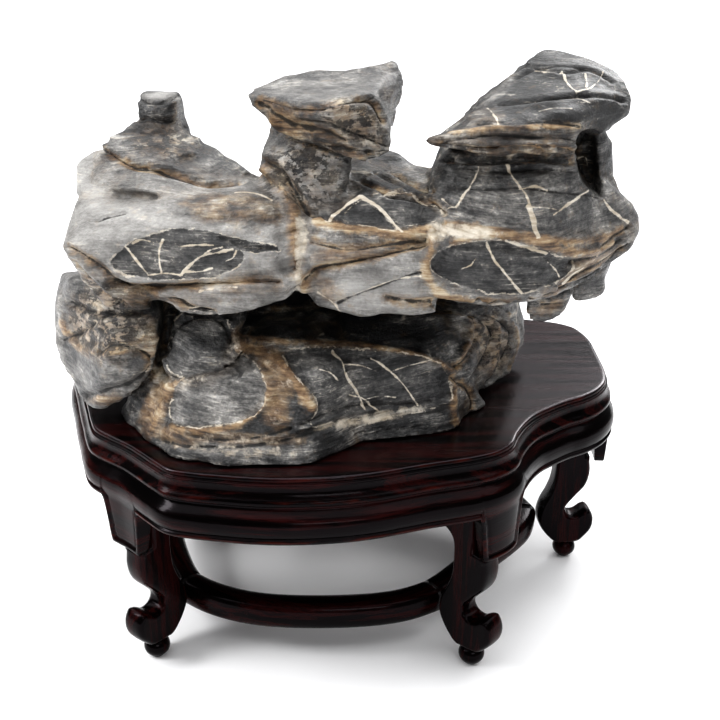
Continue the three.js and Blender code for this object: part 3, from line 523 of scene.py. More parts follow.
# ---------------------------------------------------------------- the stone's shape
# The convex masses the stone reads as, each by its corners in mm, in the same frame as the CAD
# source, and how light its surface is, 0 charcoal to 1 pale grey.
STONE_MASSES = {
    "base_left": (0.31, 3.0, [
        (-148, -76, 160), (-126, -114, 160), (-104, -138, 160), (-75, -150, 160), (-22, -149, 160),
        (8, -120, 160), (20, -60, 160), (-130, 30, 160), (-60, 62, 160), (10, 60, 160),
        (-126, -84, 196), (-92, -114, 206), (-60, -119, 210), (-25, -116, 214), (2, -104, 212),
        (-118, 0, 210), (0, 0, 222), (-104, 40, 206), (-50, 56, 212), (0, 50, 214)]),
    "base_right": (0.3, 2.6, [
        (-2, -122, 160), (35, -112, 160), (66, -106, 160), (82, -74, 160), (92, -22, 160),
        (104, 36, 160), (90, 66, 160), (30, 88, 160), (-20, 70, 160), (0, -101, 208),
        (20, -96, 212), (58, -88, 211), (84, -66, 200), (96, -20, 212), (108, 36, 212),
        (80, 74, 222), (20, 84, 216), (0, -60, 224), (60, -50, 226), (0, 54, 224)]),
    "base_corner": (0.45, 2.0, [
        (70, -76, 191), (85, -70, 177), (94, -64, 167), (96, -66, 163), (88, -74, 159),
        (70, -90, 160), (67, -88, 183), (60, -40, 166), (82, -30, 166), (60, -40, 200)]),
    "left_chunk": (0.55, 3.0, [
        (-195, -40, 210), (-191, -32, 228), (-175, -50, 247), (-120, -80, 249), (-113, -96, 221),
        (-119, -98, 202), (-134, -96, 186), (-142, -92, 178), (-160, -84, 172), (-171, -72, 173),
        (-177, -60, 182), (-190, -45, 190), (-139, -104, 224), (-149, -100, 199), (-200, 10, 232),
        (-196, 10, 196), (-120, 0, 240), (-130, 20, 190), (-170, 34, 220)]),
    "left_column": (0.42, 3.0, [
        (-109, -108, 201), (-109, -92, 219), (-103, -84, 234), (-85, -82, 239), (-69, -88, 234),
        (-63, -96, 225), (-64, -106, 216), (-72, -112, 209), (-88, -116, 205), (-88, -106, 225),
        (-110, -30, 215), (-60, -30, 238), (-100, -40, 245)]),
    "right_pier": (0.6, 3.0, [
        (83, -36, 224), (109, -14, 218), (124, 4, 208), (130, 12, 192), (130, 10, 177),
        (113, -24, 166), (98, -44, 166), (81, -60, 177), (69, -70, 194), (66, -66, 208),
        (71, -56, 220), (60, 20, 250), (108, 40, 250), (112, 46, 190), (60, 0, 190)]),
    "mid_ridge": (0.5, 4.0, [
        (-63, -94, 220), (-50, -84, 226), (-36, -84, 224), (-14, -118, 194), (-25, -124, 180),
        (-48, -120, 181), (-50, -40, 215), (0, -40, 215), (-30, -60, 200)]),
    "core": (0.15, 6.0, [
        (-104, -20, 170), (96, -20, 170), (-96, 44, 170), (88, 48, 170), (-100, -30, 268),
        (94, -30, 268), (-84, 34, 280), (80, 38, 280)]),
    "back_rib_left": (0.45, 4.0, [
        (-132, 18, 160), (-108, 62, 160), (-72, 74, 160), (-58, 40, 160), (-140, 24, 206),
        (-118, 56, 214), (-84, 66, 200), (-96, 52, 252), (-126, 30, 258), (-70, 40, 262),
        (-112, 12, 272)]),
    "back_boulder": (0.3, 7.0, [
        (-66, 56, 160), (-22, 94, 160), (22, 90, 160), (40, 56, 160), (-60, 66, 192),
        (-28, 97, 198), (16, 94, 190), (-46, 72, 226), (-10, 82, 232), (18, 66, 224),
        (-30, 30, 236)]),
    "back_flare": (0.5, 3.0, [
        (-64, 30, 236), (-40, 64, 240), (-4, 74, 246), (26, 56, 238), (-58, 58, 276),
        (-24, 80, 284), (14, 66, 290), (-34, 60, 300), (8, 50, 304), (-20, 20, 296)]),
    "back_rib_right": (0.35, 4.0, [
        (34, 50, 160), (62, 82, 160), (98, 74, 160), (112, 40, 160), (46, 66, 214), (74, 86, 204),
        (106, 62, 210), (60, 60, 250), (84, 70, 262), (106, 44, 250), (72, 30, 282), (50, 20, 260)]),
    "back_ledge_right": (0.5, 4.0, [
        (66, 40, 250), (92, 74, 262), (130, 80, 266), (150, 50, 262), (84, 70, 288), (122, 76, 292),
        (144, 56, 296), (110, 58, 308), (90, 20, 300), (140, 16, 260)]),
    "left_block": (0.74, 4.0, [
        (-162, -104, 287), (-156, -106, 274), (-145, -100, 261), (-136, -104, 251),
        (-113, -106, 251), (-81, -118, 260), (-32, -110, 261), (-25, -104, 276), (-29, -88, 300),
        (-48, -74, 308), (-83, -84, 308), (-125, -84, 304), (-154, -76, 301), (-129, -112, 292),
        (-103, -108, 298), (-58, -108, 295), (-33, -110, 287), (-166, -50, 300), (-160, 8, 292),
        (-134, 42, 286), (-84, 54, 282), (-20, 38, 290), (-22, -30, 312), (-150, 28, 264),
        (-96, 44, 256), (-30, 30, 262), (-168, -30, 262)]),
    "left_lip": (0.66, 4.0, [
        (-106, -110, 258), (-89, -114, 245), (-59, -118, 249), (-32, -112, 254), (-26, -114, 267),
        (-63, -122, 270), (-92, -118, 266), (-100, -60, 262), (-25, -60, 262), (-60, -40, 290)]),
    "left_knob": (0.8, 6.0, [
        (-171, -40, 303), (-177, -26, 312), (-170, -8, 322), (-156, -2, 324), (-141, -10, 325),
        (-129, -50, 312), (-149, -60, 299), (-168, 20, 304), (-130, 45, 304), (-163, -20, 280)]),
    "neck_skirt": (0.38, 2.4, [
        (-152, -24, 325), (-147, -2, 334), (-137, 8, 340), (-112, 8, 335), (-90, -2, 316),
        (-73, -8, 313), (-62, -6, 307), (-86, -44, 307), (-110, -44, 317), (-133, -40, 320),
        (-146, 34, 290), (-100, 58, 286), (-62, 34, 284), (-128, 40, 316), (-108, 42, 318)]),
    "neck": (0.3, 1.8, [
        (-135, 14, 352), (-133, 26, 354), (-109, 20, 355), (-111, 8, 349), (-120, 4, 349),
        (-135, 10, 340), (-113, 8, 338), (-122, 4, 338), (-136, 4, 330), (-111, 8, 330),
        (-134, 34, 348), (-112, 32, 348), (-136, 40, 318), (-106, 40, 318)]),
    "centre_belly": (0.66, 4.0, [
        (-26, -106, 277), (-23, -104, 259), (-12, -106, 248), (5, -106, 242), (36, -106, 239),
        (55, -104, 242), (58, -108, 263), (55, -100, 282), (51, -86, 295), (2, -80, 298),
        (-24, -88, 296), (0, -114, 278), (34, -110, 284), (-28, 30, 262), (30, 44, 258),
        (66, 30, 262), (-24, 44, 306), (60, 44, 300), (-28, -30, 316), (56, -30, 310)]),
    "centre_panel": (0.12, 2.0, [
        (-7, -92, 296), (11, -84, 310), (26, -78, 312), (42, -74, 309), (58, -74, 302),
        (61, -86, 295), (43, -98, 291), (12, -98, 292), (20, -20, 308), (54, -14, 304),
        (15, -20, 280)]),
    "column": (0.57, 2.4, [
        (-44, -30, 340), (-50, -44, 323), (-45, -50, 317), (-25, -54, 331), (6, -58, 327),
        (3, -66, 306), (-7, -78, 293), (-22, -76, 292), (-36, -60, 304), (-26, -30, 345),
        (5, -40, 344), (-50, 4, 300), (-8, 10, 300), (-44, 4, 344), (-6, 6, 344), (-46, 28, 296),
        (-4, 24, 296)]),
    "cap": (0.52, 1.6, [
        (-55, -50, 362), (-48, -46, 354), (-41, -48, 345), (-25, -56, 338), (-1, -66, 332),
        (12, -72, 329), (28, -58, 330), (30, -52, 338), (26, -50, 347), (18, -62, 363),
        (2, -84, 364), (-6, -88, 362), (-23, -80, 359), (-41, -64, 360), (-48, -18, 365),
        (-37, -6, 369), (-8, 8, 370), (17, 6, 369), (29, 0, 374), (-40, 0, 346), (30, 8, 346)]),
    "cap_hook": (0.4, 1.8, [
        (32, 6, 376), (35, 4, 373), (38, 0, 363), (33, -4, 351), (32, -6, 338), (29, -12, 338),
        (23, -40, 360), (19, 0, 368), (28, 22, 352), (22, 20, 344)]),
    "shoulder_back": (0.4, 3.4, [
        (1, 20, 304), (16, 20, 317), (35, 15, 318), (47, 8, 304), (64, 0, 290), (63, -40, 288),
        (31, -50, 296), (1, -40, 297), (-2, 40, 300), (60, 48, 288), (18, 52, 310), (-6, 10, 300)]),
    "right_body": (0.5, 3.4, [
        (53, -64, 312), (61, -60, 328), (75, -68, 334), (140, -68, 331), (158, -62, 313),
        (176, -50, 303), (190, -40, 290), (189, -42, 281), (166, -66, 276), (128, -98, 284),
        (92, -104, 295), (61, -96, 294), (53, -82, 300), (70, 24, 328), (146, 24, 328),
        (190, 8, 282), (196, 6, 268), (188, 40, 262), (60, 54, 280), (150, 62, 270), (140, 52, 310),
        (80, 56, 310)]),
    "right_belly": (0.55, 3.4, [
        (48, -102, 283), (52, -106, 258), (76, -106, 249), (106, -104, 250), (131, -96, 252),
        (154, -80, 259), (178, -58, 268), (190, -44, 281), (128, -100, 286), (92, -106, 292),
        (63, -104, 292), (92, -112, 277), (119, -106, 272), (50, 0, 256), (152, 20, 246),
        (190, 4, 256), (190, 30, 276), (56, 20, 296), (120, 60, 256), (60, 50, 262)]),
    "head": (0.18, 2.6, [
        (61, -80, 341), (74, -88, 337), (108, -90, 338), (137, -84, 336), (139, -76, 348),
        (162, -56, 345), (172, -46, 349), (178, -36, 354), (179, -28, 364), (175, -14, 371),
        (167, -4, 377), (152, 4, 379), (139, 10, 383), (131, 10, 384), (122, 2, 380),
        (112, -6, 373), (103, -24, 364), (85, -52, 355), (101, -92, 353), (134, -82, 360),
        (74, 8, 334), (126, 20, 334), (166, 16, 342), (120, 34, 368), (150, 24, 374), (90, 14, 352)]),
    "head_beak": (0.36, 1.4, [
        (54, -80, 342), (63, -88, 339), (77, -90, 337), (91, -92, 341), (92, -74, 353),
        (84, -54, 355), (69, -62, 348), (85, -90, 350), (66, -30, 338), (90, -10, 338)]),
    "head_lip": (0.42, 1.8, [
        (60, -84, 343), (74, -92, 339), (91, -94, 339), (113, -94, 340), (136, -88, 336),
        (138, -82, 347), (116, -92, 350), (90, -92, 350), (74, -90, 346), (80, -30, 330),
        (150, -30, 330)]),
    "right_prop": (0.35, 3.0, [
        (161, -30, 345), (173, -25, 327), (170, -25, 316), (174, -35, 301), (159, -47, 303),
        (157, -42, 323), (154, -40, 347), (162, 12, 352), (178, 12, 300), (148, 12, 300)]),
    "stub_centre": (0.5, 2.5, [
        (115, -68, 246), (142, -64, 246), (142, -58, 227), (131, -60, 221), (120, -64, 226),
        (128, -18, 250), (157, -18, 250), (138, -30, 233)]),
    "stub_right": (0.5, 2.5, [
        (146, -42, 254), (171, -32, 255), (172, -30, 229), (153, -36, 228), (163, 2, 262),
        (187, 2, 262), (170, 5, 244)]),
    "cleft_web": (0.6, 3.0, [
        (-42, -72, 305), (-18, -80, 297), (-32, -100, 288), (-18, -98, 288), (-30, -104, 261),
        (-17, -104, 261), (-60, 0, 300), (-30, 0, 300), (-60, 0, 262), (-20, 0, 262)]),
    "left_ledge": (0.5, 2.0, [
        (-160, -96, 281), (-155, -98, 269), (-146, -94, 249), (-139, -96, 245), (-114, -104, 247),
        (-129, -108, 264), (-149, -106, 280), (-160, -40, 262), (-110, -50, 262), (-160, -40, 290)]),
    "skirt_web": (0.6, 3.0, [
        (-158, -10, 323), (-130, -36, 320), (-111, -42, 317), (-86, -44, 308), (-64, -30, 306),
        (-130, -60, 308), (-98, -66, 307), (-156, -40, 311), (-100, 20, 270), (-150, 20, 270),
        (-60, 30, 290)]),
    # A charcoal mass that closes the gap behind the left chunk: painted shade where only shadow shows
    # through.
    "inner_left": (0.1, 3.0, [
        (-134, -46, 235), (-99, -46, 235), (-126, -64, 188), (-102, -64, 188), (-130, 30, 196),
        (-80, 30, 196), (-130, 30, 262), (-80, 30, 262)]),
}
STONE_HOLLOWS = {
    "cave": (3.0, [
        (-44, -140, 246), (0, -140, 241), (57, -140, 238), (74, -100, 237), (-36, -66, 236),
        (66, -66, 232), (-40, -140, 243), (-6, -140, 240), (46, -130, 230), (65, -110, 215),
        (-30, -66, 226), (60, -66, 226)]),
    "notch": (2.5, [
        (130, -110, 353), (147, -100, 352), (132, -100, 334), (149, -95, 330), (146, -80, 312),
        (157, -70, 306), (146, -26, 338), (160, -22, 334), (158, -26, 306), (150, -20, 318)]),
}

# Marks on the show side, drawn in mm as seen square on to the 23 degree view: across, and up.
# name: half width, depth, points
SEAMS = {
    "under_neck": (2.0, 2.6, [
        (-151, 289), (-140, 282), (-129, 277), (-119, 275), (-107, 272), (-94, 268), (-84, 265),
        (-75, 265), (-64, 267)]),
    "cleft": (3.0, -3.0, [
        (-50, 274), (-41, 265), (-34, 256), (-29, 245), (-28, 232), (-28, 220), (-26, 210),
        (-22, 200)]),
    "left_rim": (1.5, 1.6, [(-158, 222), (-150, 217), (-142, 212), (-134, 206), (-127, 200)]),
    "left_rim_low": (1.5, 2.0, [(-156, 213), (-149, 204), (-140, 195), (-128, 189)]),
    "under_cartouche": (2.0, 3.6, [
        (-134, 201), (-120, 198), (-105, 198), (-86, 199), (-66, 201), (-45, 203), (-36, 201)]),
    "lower_lip": (1.5, 2.0, [(-112, 191), (-96, 191), (-88, 187), (-74, 184)]),
    "column_edge": (1.5, 2.2, [(-50, 280), (-41, 275), (-34, 266), (-25, 253), (-16, 242)]),
    "cap_band_high": (1.5, 1.6, [(-50, 309), (-37, 300), (-24, 293), (-9, 288), (2, 283)]),
    "cap_band_low": (1.5, -1.6, [(-42, 301), (-31, 294), (-18, 286), (-1, 280), (12, 277)]),
    "cap_rim": (1.0, 0.8, [(-29, 301), (-16, 299), (-3, 300), (6, 304), (19, 311)]),
    "shoulder_seam": (1.5, 2.0, [(12, 268), (26, 256), (38, 254), (53, 250), (60, 243)]),
    "shoulder_high": (1.5, 1.6, [(18, 277), (30, 278), (42, 267), (54, 258)]),
    "panel_tan": (3.0, -1.0, [(-14, 238), (-1, 234), (17, 232), (34, 229), (53, 232)]),
    "belly_dark": (1.5, 1.6, [(-17, 226), (-3, 222), (11, 221), (31, 224), (49, 227)]),
    "belly_crease": (2.0, 2.6, [(-21, 203), (-12, 209), (2, 212), (20, 216), (34, 220), (49, 224)]),
    "belly_oblique": (1.0, 0.8, [(-2, 190), (14, 196), (31, 202), (46, 207)]),
    "belly_low": (2.0, 1.6, [(26, 193), (40, 190), (58, 190), (82, 189), (103, 190)]),
    "cartouche_left_rim": (2.5, -1.6, [
        (53, 232), (52, 220), (49, 210), (53, 201), (63, 193), (79, 189)]),
    "cartouche_top_rim": (2.0, -2.2, [
        (66, 225), (86, 228), (106, 226), (127, 221), (150, 221), (166, 228)]),
    "body_foot": (2.0, -1.4, [
        (61, 235), (80, 232), (103, 229), (128, 226), (155, 229), (174, 238)]),
    "flank_1": (1.5, 1.6, [(130, 201), (147, 210), (162, 217), (175, 226)]),
    "flank_2": (1.5, 1.2, [(139, 215), (157, 220), (174, 231)]),
    "flank_3": (1.0, 1.2, [(121, 194), (141, 202), (159, 211)]),
    "head_line": (1.0, -1.0, [(64, 287), (84, 287), (107, 288), (125, 289), (137, 290)]),
    "head_high": (0.5, 0.8, [(97, 307), (110, 307), (127, 309), (146, 312)]),
    "head_top": (0.5, 0.8, [(107, 330), (119, 336), (135, 338), (150, 337)]),
    "under_head": (2.0, 3.0, [(58, 279), (76, 275), (96, 275), (116, 276), (136, 275)]),
    "column_foot": (2.5, -2.4, [
        (-109, 139), (-94, 142), (-80, 145), (-69, 150), (-64, 159), (-61, 169)]),
    "web_left": (3.0, -1.6, [(-62, 165), (-49, 161), (-36, 153), (-26, 141), (-18, 128)]),
    "panel_foot": (2.0, -1.4, [(-102, 115), (-81, 114), (-61, 118), (-49, 128), (-42, 138)]),
    "left_post": (2.0, -1.2, [(-106, 137), (-111, 125), (-118, 111)]),
    "shelf": (1.5, -1.6, [(-58, 170), (-32, 167), (-5, 166), (23, 163), (48, 158), (68, 150)]),
    "right_post": (2.0, -1.6, [(69, 147), (70, 134), (69, 124), (73, 116)]),
    "pier_1": (1.5, -1.8, [(86, 188), (83, 169), (73, 151)]),
    "pier_2": (1.5, -1.6, [(99, 191), (107, 171), (99, 147)]),
    "pier_3": (1.5, -1.4, [(114, 191), (123, 170), (116, 151)]),
    "rim_line": (1.5, 1.4, [
        (-110, 107), (-84, 105), (-54, 106), (-29, 110), (-7, 118), (23, 121), (55, 124), (67,
        127)]),
    "chunk_band": (2.5, -1.4, [(-185, 181), (-171, 166), (-155, 161), (-136, 163), (-117, 170)]),
    "chunk_foot": (2.0, 1.4, [(-167, 133), (-145, 137), (-126, 144), (-115, 155)]),
    "chunk_high": (1.5, 1.4, [(-177, 194), (-151, 186), (-123, 186)]),
    "head_lip_line": (1.0, 1.4, [(60, 282), (73, 283), (90, 283), (113, 282), (136, 282)]),
    "head_crest": (1.0, 1.2, [
        (108, 338), (115, 341), (125, 336), (136, 332), (153, 336), (166, 328)]),
    "head_bed_1": (1.0, 1.0, [(94, 308), (110, 308), (130, 309), (154, 313), (171, 314)]),
    "head_bed_2": (1.0, 0.8, [(79, 293), (96, 290), (116, 291), (137, 290)]),
    "cap_face_top": (1.5, 1.6, [
        (-47, 311), (-29, 302), (-12, 300), (2, 304), (17, 308), (25, 299)]),
    "cap_bed_1": (1.0, 1.2, [(-24, 296), (-9, 292), (5, 288), (20, 286), (29, 285)]),
    "cap_bed_2": (1.0, 1.2, [(-14, 285), (-1, 281), (12, 279), (27, 282)]),
    "neck_face": (1.0, 1.4, [(-135, 330), (-127, 325), (-118, 324), (-112, 330), (-107, 335)]),
    "neck_waist": (1.5, 1.4, [(-135, 314), (-127, 315), (-119, 312), (-109, 315)]),
    "block_bed": (1.0, 0.9, [(-143, 238), (-135, 241), (-127, 243)]),
    "flank_4": (1.0, 1.4, [(131, 198), (152, 207), (167, 217), (179, 229)]),
    "flank_5": (1.0, 1.2, [(157, 225), (168, 233), (180, 240)]),
    "body_bed_1": (1.0, 0.8, [(63, 259), (81, 256), (104, 257), (129, 255), (157, 256)]),
    "body_bed_2": (1.0, 0.7, [(70, 270), (93, 267), (117, 269), (138, 268)]),
    "pier_dark_1": (1.5, 1.8, [(81, 191), (89, 176), (82, 161), (72, 152)]),
    "pier_dark_2": (1.0, 1.4, [(84, 188), (102, 175), (93, 155), (82, 142)]),
    "pier_dark_3": (1.0, 1.4, [(94, 188), (117, 176), (108, 152), (98, 140)]),
    "corner_edge": (1.5, 1.6, [(69, 145), (80, 138), (85, 128), (80, 115)]),
    "column_line": (1.0, 1.2, [(-34, 255), (-25, 248), (-14, 243), (-5, 237)]),
    "shoulder_line": (1.0, 1.2, [(6, 268), (19, 275), (31, 268), (40, 258)]),
    "foot_line_1": (1.0, 1.2, [(-24, 118), (-7, 125), (14, 129), (36, 128), (55, 130)]),
    "foot_line_2": (1.0, 1.0, [(-90, 111), (-69, 109), (-47, 111), (-30, 116)]),
    "column_rim": (1.0, 1.2, [(-108, 162), (-102, 178), (-82, 184), (-72, 178), (-66, 168)]),
    "chunk_line_1": (1.5, 1.6, [(-148, 161), (-136, 166), (-122, 161), (-115, 156)]),
    "chunk_line_2": (1.0, 1.2, [(-186, 169), (-166, 174), (-149, 182), (-130, 192)]),
    "stub_line": (1.0, 1.2, [(111, 192), (129, 191), (143, 192)]),
}
VEINS = {
    "left_leaf_1": (0.5, [(-123, 221), (-117, 213), (-111, 205)]),
    "left_leaf_2": (0.7, [(-102, 225), (-104, 219), (-104, 212), (-103, 206)]),
    "left_leaf_3": (0.7, [(-92, 205), (-86, 211), (-79, 216), (-70, 218), (-62, 220)]),
    "left_leaf_4": (0.5, [(-111, 205), (-101, 206), (-91, 205)]),
    "left_leaf_5": (0.5, [(-93, 221), (-83, 222), (-73, 222)]),
    "left_leaf_6": (0.5, [(-89, 207), (-81, 207), (-74, 209)]),
    "fork_left": (1.4, [(-8, 238), (2, 246), (11, 252)]),
    "fork_right": (1.1, [(11, 252), (18, 248), (26, 241), (35, 230)]),
    "body_1": (0.7, [(74, 274), (81, 271), (78, 262), (72, 253), (67, 245)]),
    "body_2": (0.7, [(92, 274), (97, 271), (101, 262), (107, 254), (110, 245)]),
    "body_wedge": (1.7, [(109, 245), (112, 236), (114, 228)]),
    "body_3": (0.5, [(110, 245), (119, 245), (128, 244)]),
    "body_4": (0.7, [(124, 241), (135, 249), (148, 258)]),
    "body_5": (0.5, [(58, 244), (67, 245)]),
    "body_6": (0.5, [(104, 256), (113, 258), (121, 256)]),
    "right_edge": (1.0, [(160, 254), (168, 248), (179, 243)]),
    "head_1": (0.7, [(135, 333), (135, 323), (138, 313)]),
    "head_2": (0.5, [(149, 331), (148, 324), (146, 319)]),
    "head_3": (0.5, [(138, 313), (148, 318)]),
    "head_4": (0.6, [(87, 306), (89, 298), (90, 290)]),
    "right_leaf_1": (0.7, [(84, 224), (88, 215), (95, 207), (101, 201), (106, 196)]),
    "right_leaf_2": (0.9, [(133, 202), (139, 208), (146, 212)]),
    "right_leaf_3": (0.7, [(95, 225), (106, 222), (120, 218)]),
    "low_1": (0.6, [(-6, 162), (0, 156), (3, 147), (9, 137), (14, 126)]),
    "low_2": (0.4, [(2, 154), (11, 153), (22, 149)]),
    "low_3": (0.6, [(18, 158), (30, 149), (38, 141), (47, 128)]),
    "low_4": (0.4, [(30, 149), (42, 153), (55, 156)]),
    "low_5": (0.5, [(5, 135), (14, 132), (23, 124)]),
    "left_top": (0.7, [(-64, 257), (-54, 257), (-42, 253)]),
    "head_5": (0.4, [(119, 334), (127, 331), (135, 333)]),
    "head_6": (0.4, [(127, 307), (136, 308), (145, 306)]),
    "head_7": (0.4, [(114, 299), (122, 300), (132, 300)]),
    "head_8": (0.4, [(148, 318), (157, 327), (162, 335)]),
    "body_7": (0.5, [(60, 251), (64, 246), (67, 245)]),
    "body_8": (0.5, [(158, 280), (154, 287), (139, 279)]),
    "left_leaf_7": (0.5, [(-79, 216), (-75, 219), (-68, 221)]),
    "left_leaf_8": (0.5, [(-66, 213), (-62, 215), (-60, 219)]),
    "left_leaf_9": (0.5, [(-119, 223), (-114, 225), (-109, 224)]),
    "right_leaf_4": (0.4, [(70, 209), (75, 211), (78, 215)]),
    "right_leaf_5": (0.4, [(121, 213), (126, 210), (129, 206)]),
    "low_6": (0.4, [(-13, 151), (-7, 149), (-2, 144)]),
    "low_7": (0.4, [(14, 132), (23, 134), (33, 133)]),
    "lip_1": (0.4, [(-81, 196), (-69, 198), (-59, 198)]),
    "belly_1": (0.4, [(5, 194), (20, 199), (33, 203), (46, 205)]),
    "belly_2": (0.4, [(-14, 196), (-7, 192), (0, 185)]),
}
PANELS = {
    "left_leaf": (0.30, [
        (-132, 213), (-123, 221), (-109, 228), (-95, 231), (-81, 230), (-68, 226), (-59, 220),
        (-56, 216), (-61, 209), (-72, 204), (-89, 203), (-104, 203), (-116, 205), (-128, 207)]),
    "right_leaf": (0.25, [
        (53, 216), (60, 220), (74, 224), (92, 225), (112, 221), (128, 217), (139, 215), (133,
        207), (120, 200), (105, 196), (87, 196), (69, 200), (58, 205), (52, 210)]),
    "fork_under": (0.20, [(0, 237), (12, 250), (22, 242), (32, 232), (17, 234)]),
    "fork_over": (0.30, [
        (16, 252), (28, 256), (41, 255), (53, 249), (58, 242), (49, 237), (34, 236), (26,
        244)]),
    "low_left": (0.75, [
        (-88, 155), (-65, 161), (-49, 149), (-45, 134), (-57, 121), (-98, 117), (-104, 131),
        (-96, 144)]),
    "low_right": (0.30, [
        (-35, 161), (-8, 163), (36, 160), (61, 153), (67, 141), (64, 129), (36, 123), (-1, 120),
        (-17, 117), (-14, 132), (-27, 147)]),
    "low_column": (0.42, [
        (-103, 148), (-109, 166), (-103, 182), (-79, 185), (-71, 180), (-65, 168), (-68, 156),
        (-82, 148)]),
}
HOLLOW_MARKS = {
    "left_hollow": (5.0, [
        (-78, 230), (-66, 228), (-55, 225), (-42, 223), (-35, 220), (-49, 218), (-59, 220),
        (-68, 224)]),
}
PATCHES = {
    "ochre_shelf": ((-63, 246), (36, 12), -5, 0.45, 0.00, 0.00, -0.28),
    "star": ((73, 231), (20, 5), -5, 0.30, 0.70, 0.30, 0.10),
    "star_node": ((55, 231), (6, 8), 0, 0.35, 0.65, 0.20, 0.10),
    "cleft_cream": ((-24, 226), (5, 17), 0, 0.35, 0.70, 0.00, 0.10),
    "cleft_cream_low": ((-25, 206), (4, 8), 0, 0.35, 0.60, 0.00, 0.10),
    "neck_pale": ((-115, 297), (26, 15), -20, 0.38, 0.12, 0.95, 0.08),
    "neck_top": ((-119, 331), (16, 5), 0, 0.00, 0.00, 0.00, 0.50),
    "neck_side": ((-110, 318), (3, 9), 0, 0.35, 0.40, 0.00, 0.20),
    "belly_tan": ((2, 217), (20, 7), 10, 0.60, 0.10, 0.00, 0.00),
    "belly_tan_low": ((-7, 197), (13, 6), -35, 0.55, 0.10, 0.00, 0.00),
    "belly_low_pale": ((20, 196), (30, 11), 0, 0.05, 0.15, 0.00, 0.16),
    "belly_tan_mid": ((35, 192), (14, 4), -5, 0.50, 0.35, 0.00, 0.10),
    "cap_top": ((-13, 318), (30, 10), 5, 0.00, 0.00, 0.00, 0.10),
    "cap_left_under": ((-33, 297), (15, 5), -30, 0.70, 0.00, 0.00, -0.10),
    "cap_right": ((8, 294), (20, 12), -20, 0.55, 0.10, 0.95, 0.10),
    # Painted sheen on the head's left plane, with a little clay and chalk.
    "head_left_painted_sheen": ((96, 322), (21, 6), 50, 0.05, 0.10, 0.00, 0.38),
    "head_foot": ((96, 282), (34, 4), 0, 0.25, 0.00, 0.00, 0.18),
    "column_pale": ((-30, 278), (13, 6), -20, 0.15, 0.35, 0.80, 0.15),
    "column_pale_2": ((-7, 280), (12, 5), -10, 0.10, 0.30, 0.80, 0.10),
    "chunk_grey": ((-137, 149), (18, 13), 15, 0.05, 0.05, 0.30, 0.05),
    "chunk_tip": ((-150, 131), (13, 4), 5, 0.70, 0.20, 0.00, 0.10),
    "pier_tan": ((101, 167), (18, 23), 0, 0.62, 0.32, 0.85, 0.15),
    "web_tan": ((-40, 150), (10, 18), 35, 0.70, 0.30, 0.00, 0.10),
    "low_left_tan": ((-116, 127), (10, 21), -20, 0.80, 0.30, 0.00, 0.10),
    "low_left_foot": ((-102, 110), (19, 5), -12, 0.65, 0.20, 0.00, 0.10),
    "column_rim_low": ((-90, 143), (25, 4), 16, 0.85, 0.35, 0.00, 0.15),
    "column_rim_right": ((-66, 165), (5, 17), -22, 0.80, 0.30, 0.00, 0.15),
    "panel_right_web": ((-39, 130), (8, 19), 12, 0.75, 0.25, 0.00, 0.05),
    "chunk_right_tan": ((-116, 161), (6, 23), 0, 0.75, 0.30, 0.00, 0.10),
    "rim_pale": ((-63, 103), (44, 5), -3, 0.12, 0.42, 0.00, 0.30),
    "low_bottom": ((-60, 110), (41, 4), -2, 0.45, 0.30, 0.00, 0.10),
    "low_rim_chalk": ((20, 121), (37, 4), 10, 0.20, 0.60, 0.00, 0.10),
    "left_under": ((-127, 194), (23, 4), -10, 0.50, 0.00, 0.00, -0.20),
    "stub_tan": ((129, 192), (13, 8), 0, 0.60, 0.15, 0.00, 0.10),
    "flank_tan": ((150, 216), (22, 6), 30, 0.55, 0.20, 0.00, 0.05),
    "crest_tan": ((-52, 197), (23, 3), 4, 0.35, 0.10, 0.00, 0.00),
    "chunk_broken": ((-147, 180), (33, 26), -10, 0.55, 0.28, 1.00, 0.15),
    # Painted shade in the cave under the belly and in the gap between the left chunk and the column.
    "cave_painted_shade": ((8, 175), (60, 6), -1, 0.00, 0.00, 0.00, -0.50),
    "cave_painted_shade_left": ((-115, 190), (10, 9), 0, 0.00, 0.00, 0.00, -0.50),
    "column_broken": ((-25, 268), (28, 24), -20, 0.30, 0.10, 0.80, 0.15),
    "body_broken": ((67, 266), (11, 13), 0, 0.00, 0.00, 0.70, 0.05),
    "head_dark": ((128, 311), (35, 18), -12, 0.00, 0.00, 0.25, -0.10),
    "low_left_tail": ((-81, 191), (23, 5), 5, 0.20, 0.10, 0.10, 0.05),
    # Painted shade in the notch under the head's right end.
    "notch_painted_shade": ((150, 277), (8, 21), 0, 0.15, 0.00, 0.00, -0.50),
}

FLOOR_OF_STONE = 164.3
CELL = 2.1
JOIN = 4.0
MOST_FACES = 196000
# Seams shallower than this carry only a painted shade line along their groove; deeper ones and raised
# ribs hold clay.
CLAY_DEPTH = 1.5
# Distances to marks are kept up to this many mm, which stands for far away.
FAR = 12.0


def hull_planes(corners):
    """Outward planes of a mass's hull, as rows of a, b, c and offset."""
    shape = bmesh.new()
    for corner in corners:
        shape.verts.new(corner)
    bmesh.ops.convex_hull(shape, input=shape.verts)
    shape.normal_update()
    middle = np.mean(corners, axis=0)
    planes = []
    for face in shape.faces:
        normal = np.array(face.normal)
        if face.calc_area() < 1e-6:
            continue
        offset = normal @ np.array(face.verts[0].co)
        if normal @ middle > offset:
            normal, offset = -normal, -offset
        planes.append((*normal, -offset))
    shape.free()
    return np.unique(np.round(planes, 4), axis=0)


def smooth_min(a, b, width):
    h = np.clip(0.5 + 0.5 * (b - a) / width, 0, 1)
    return b * (1 - h) + a * h - width * h * (1 - h)


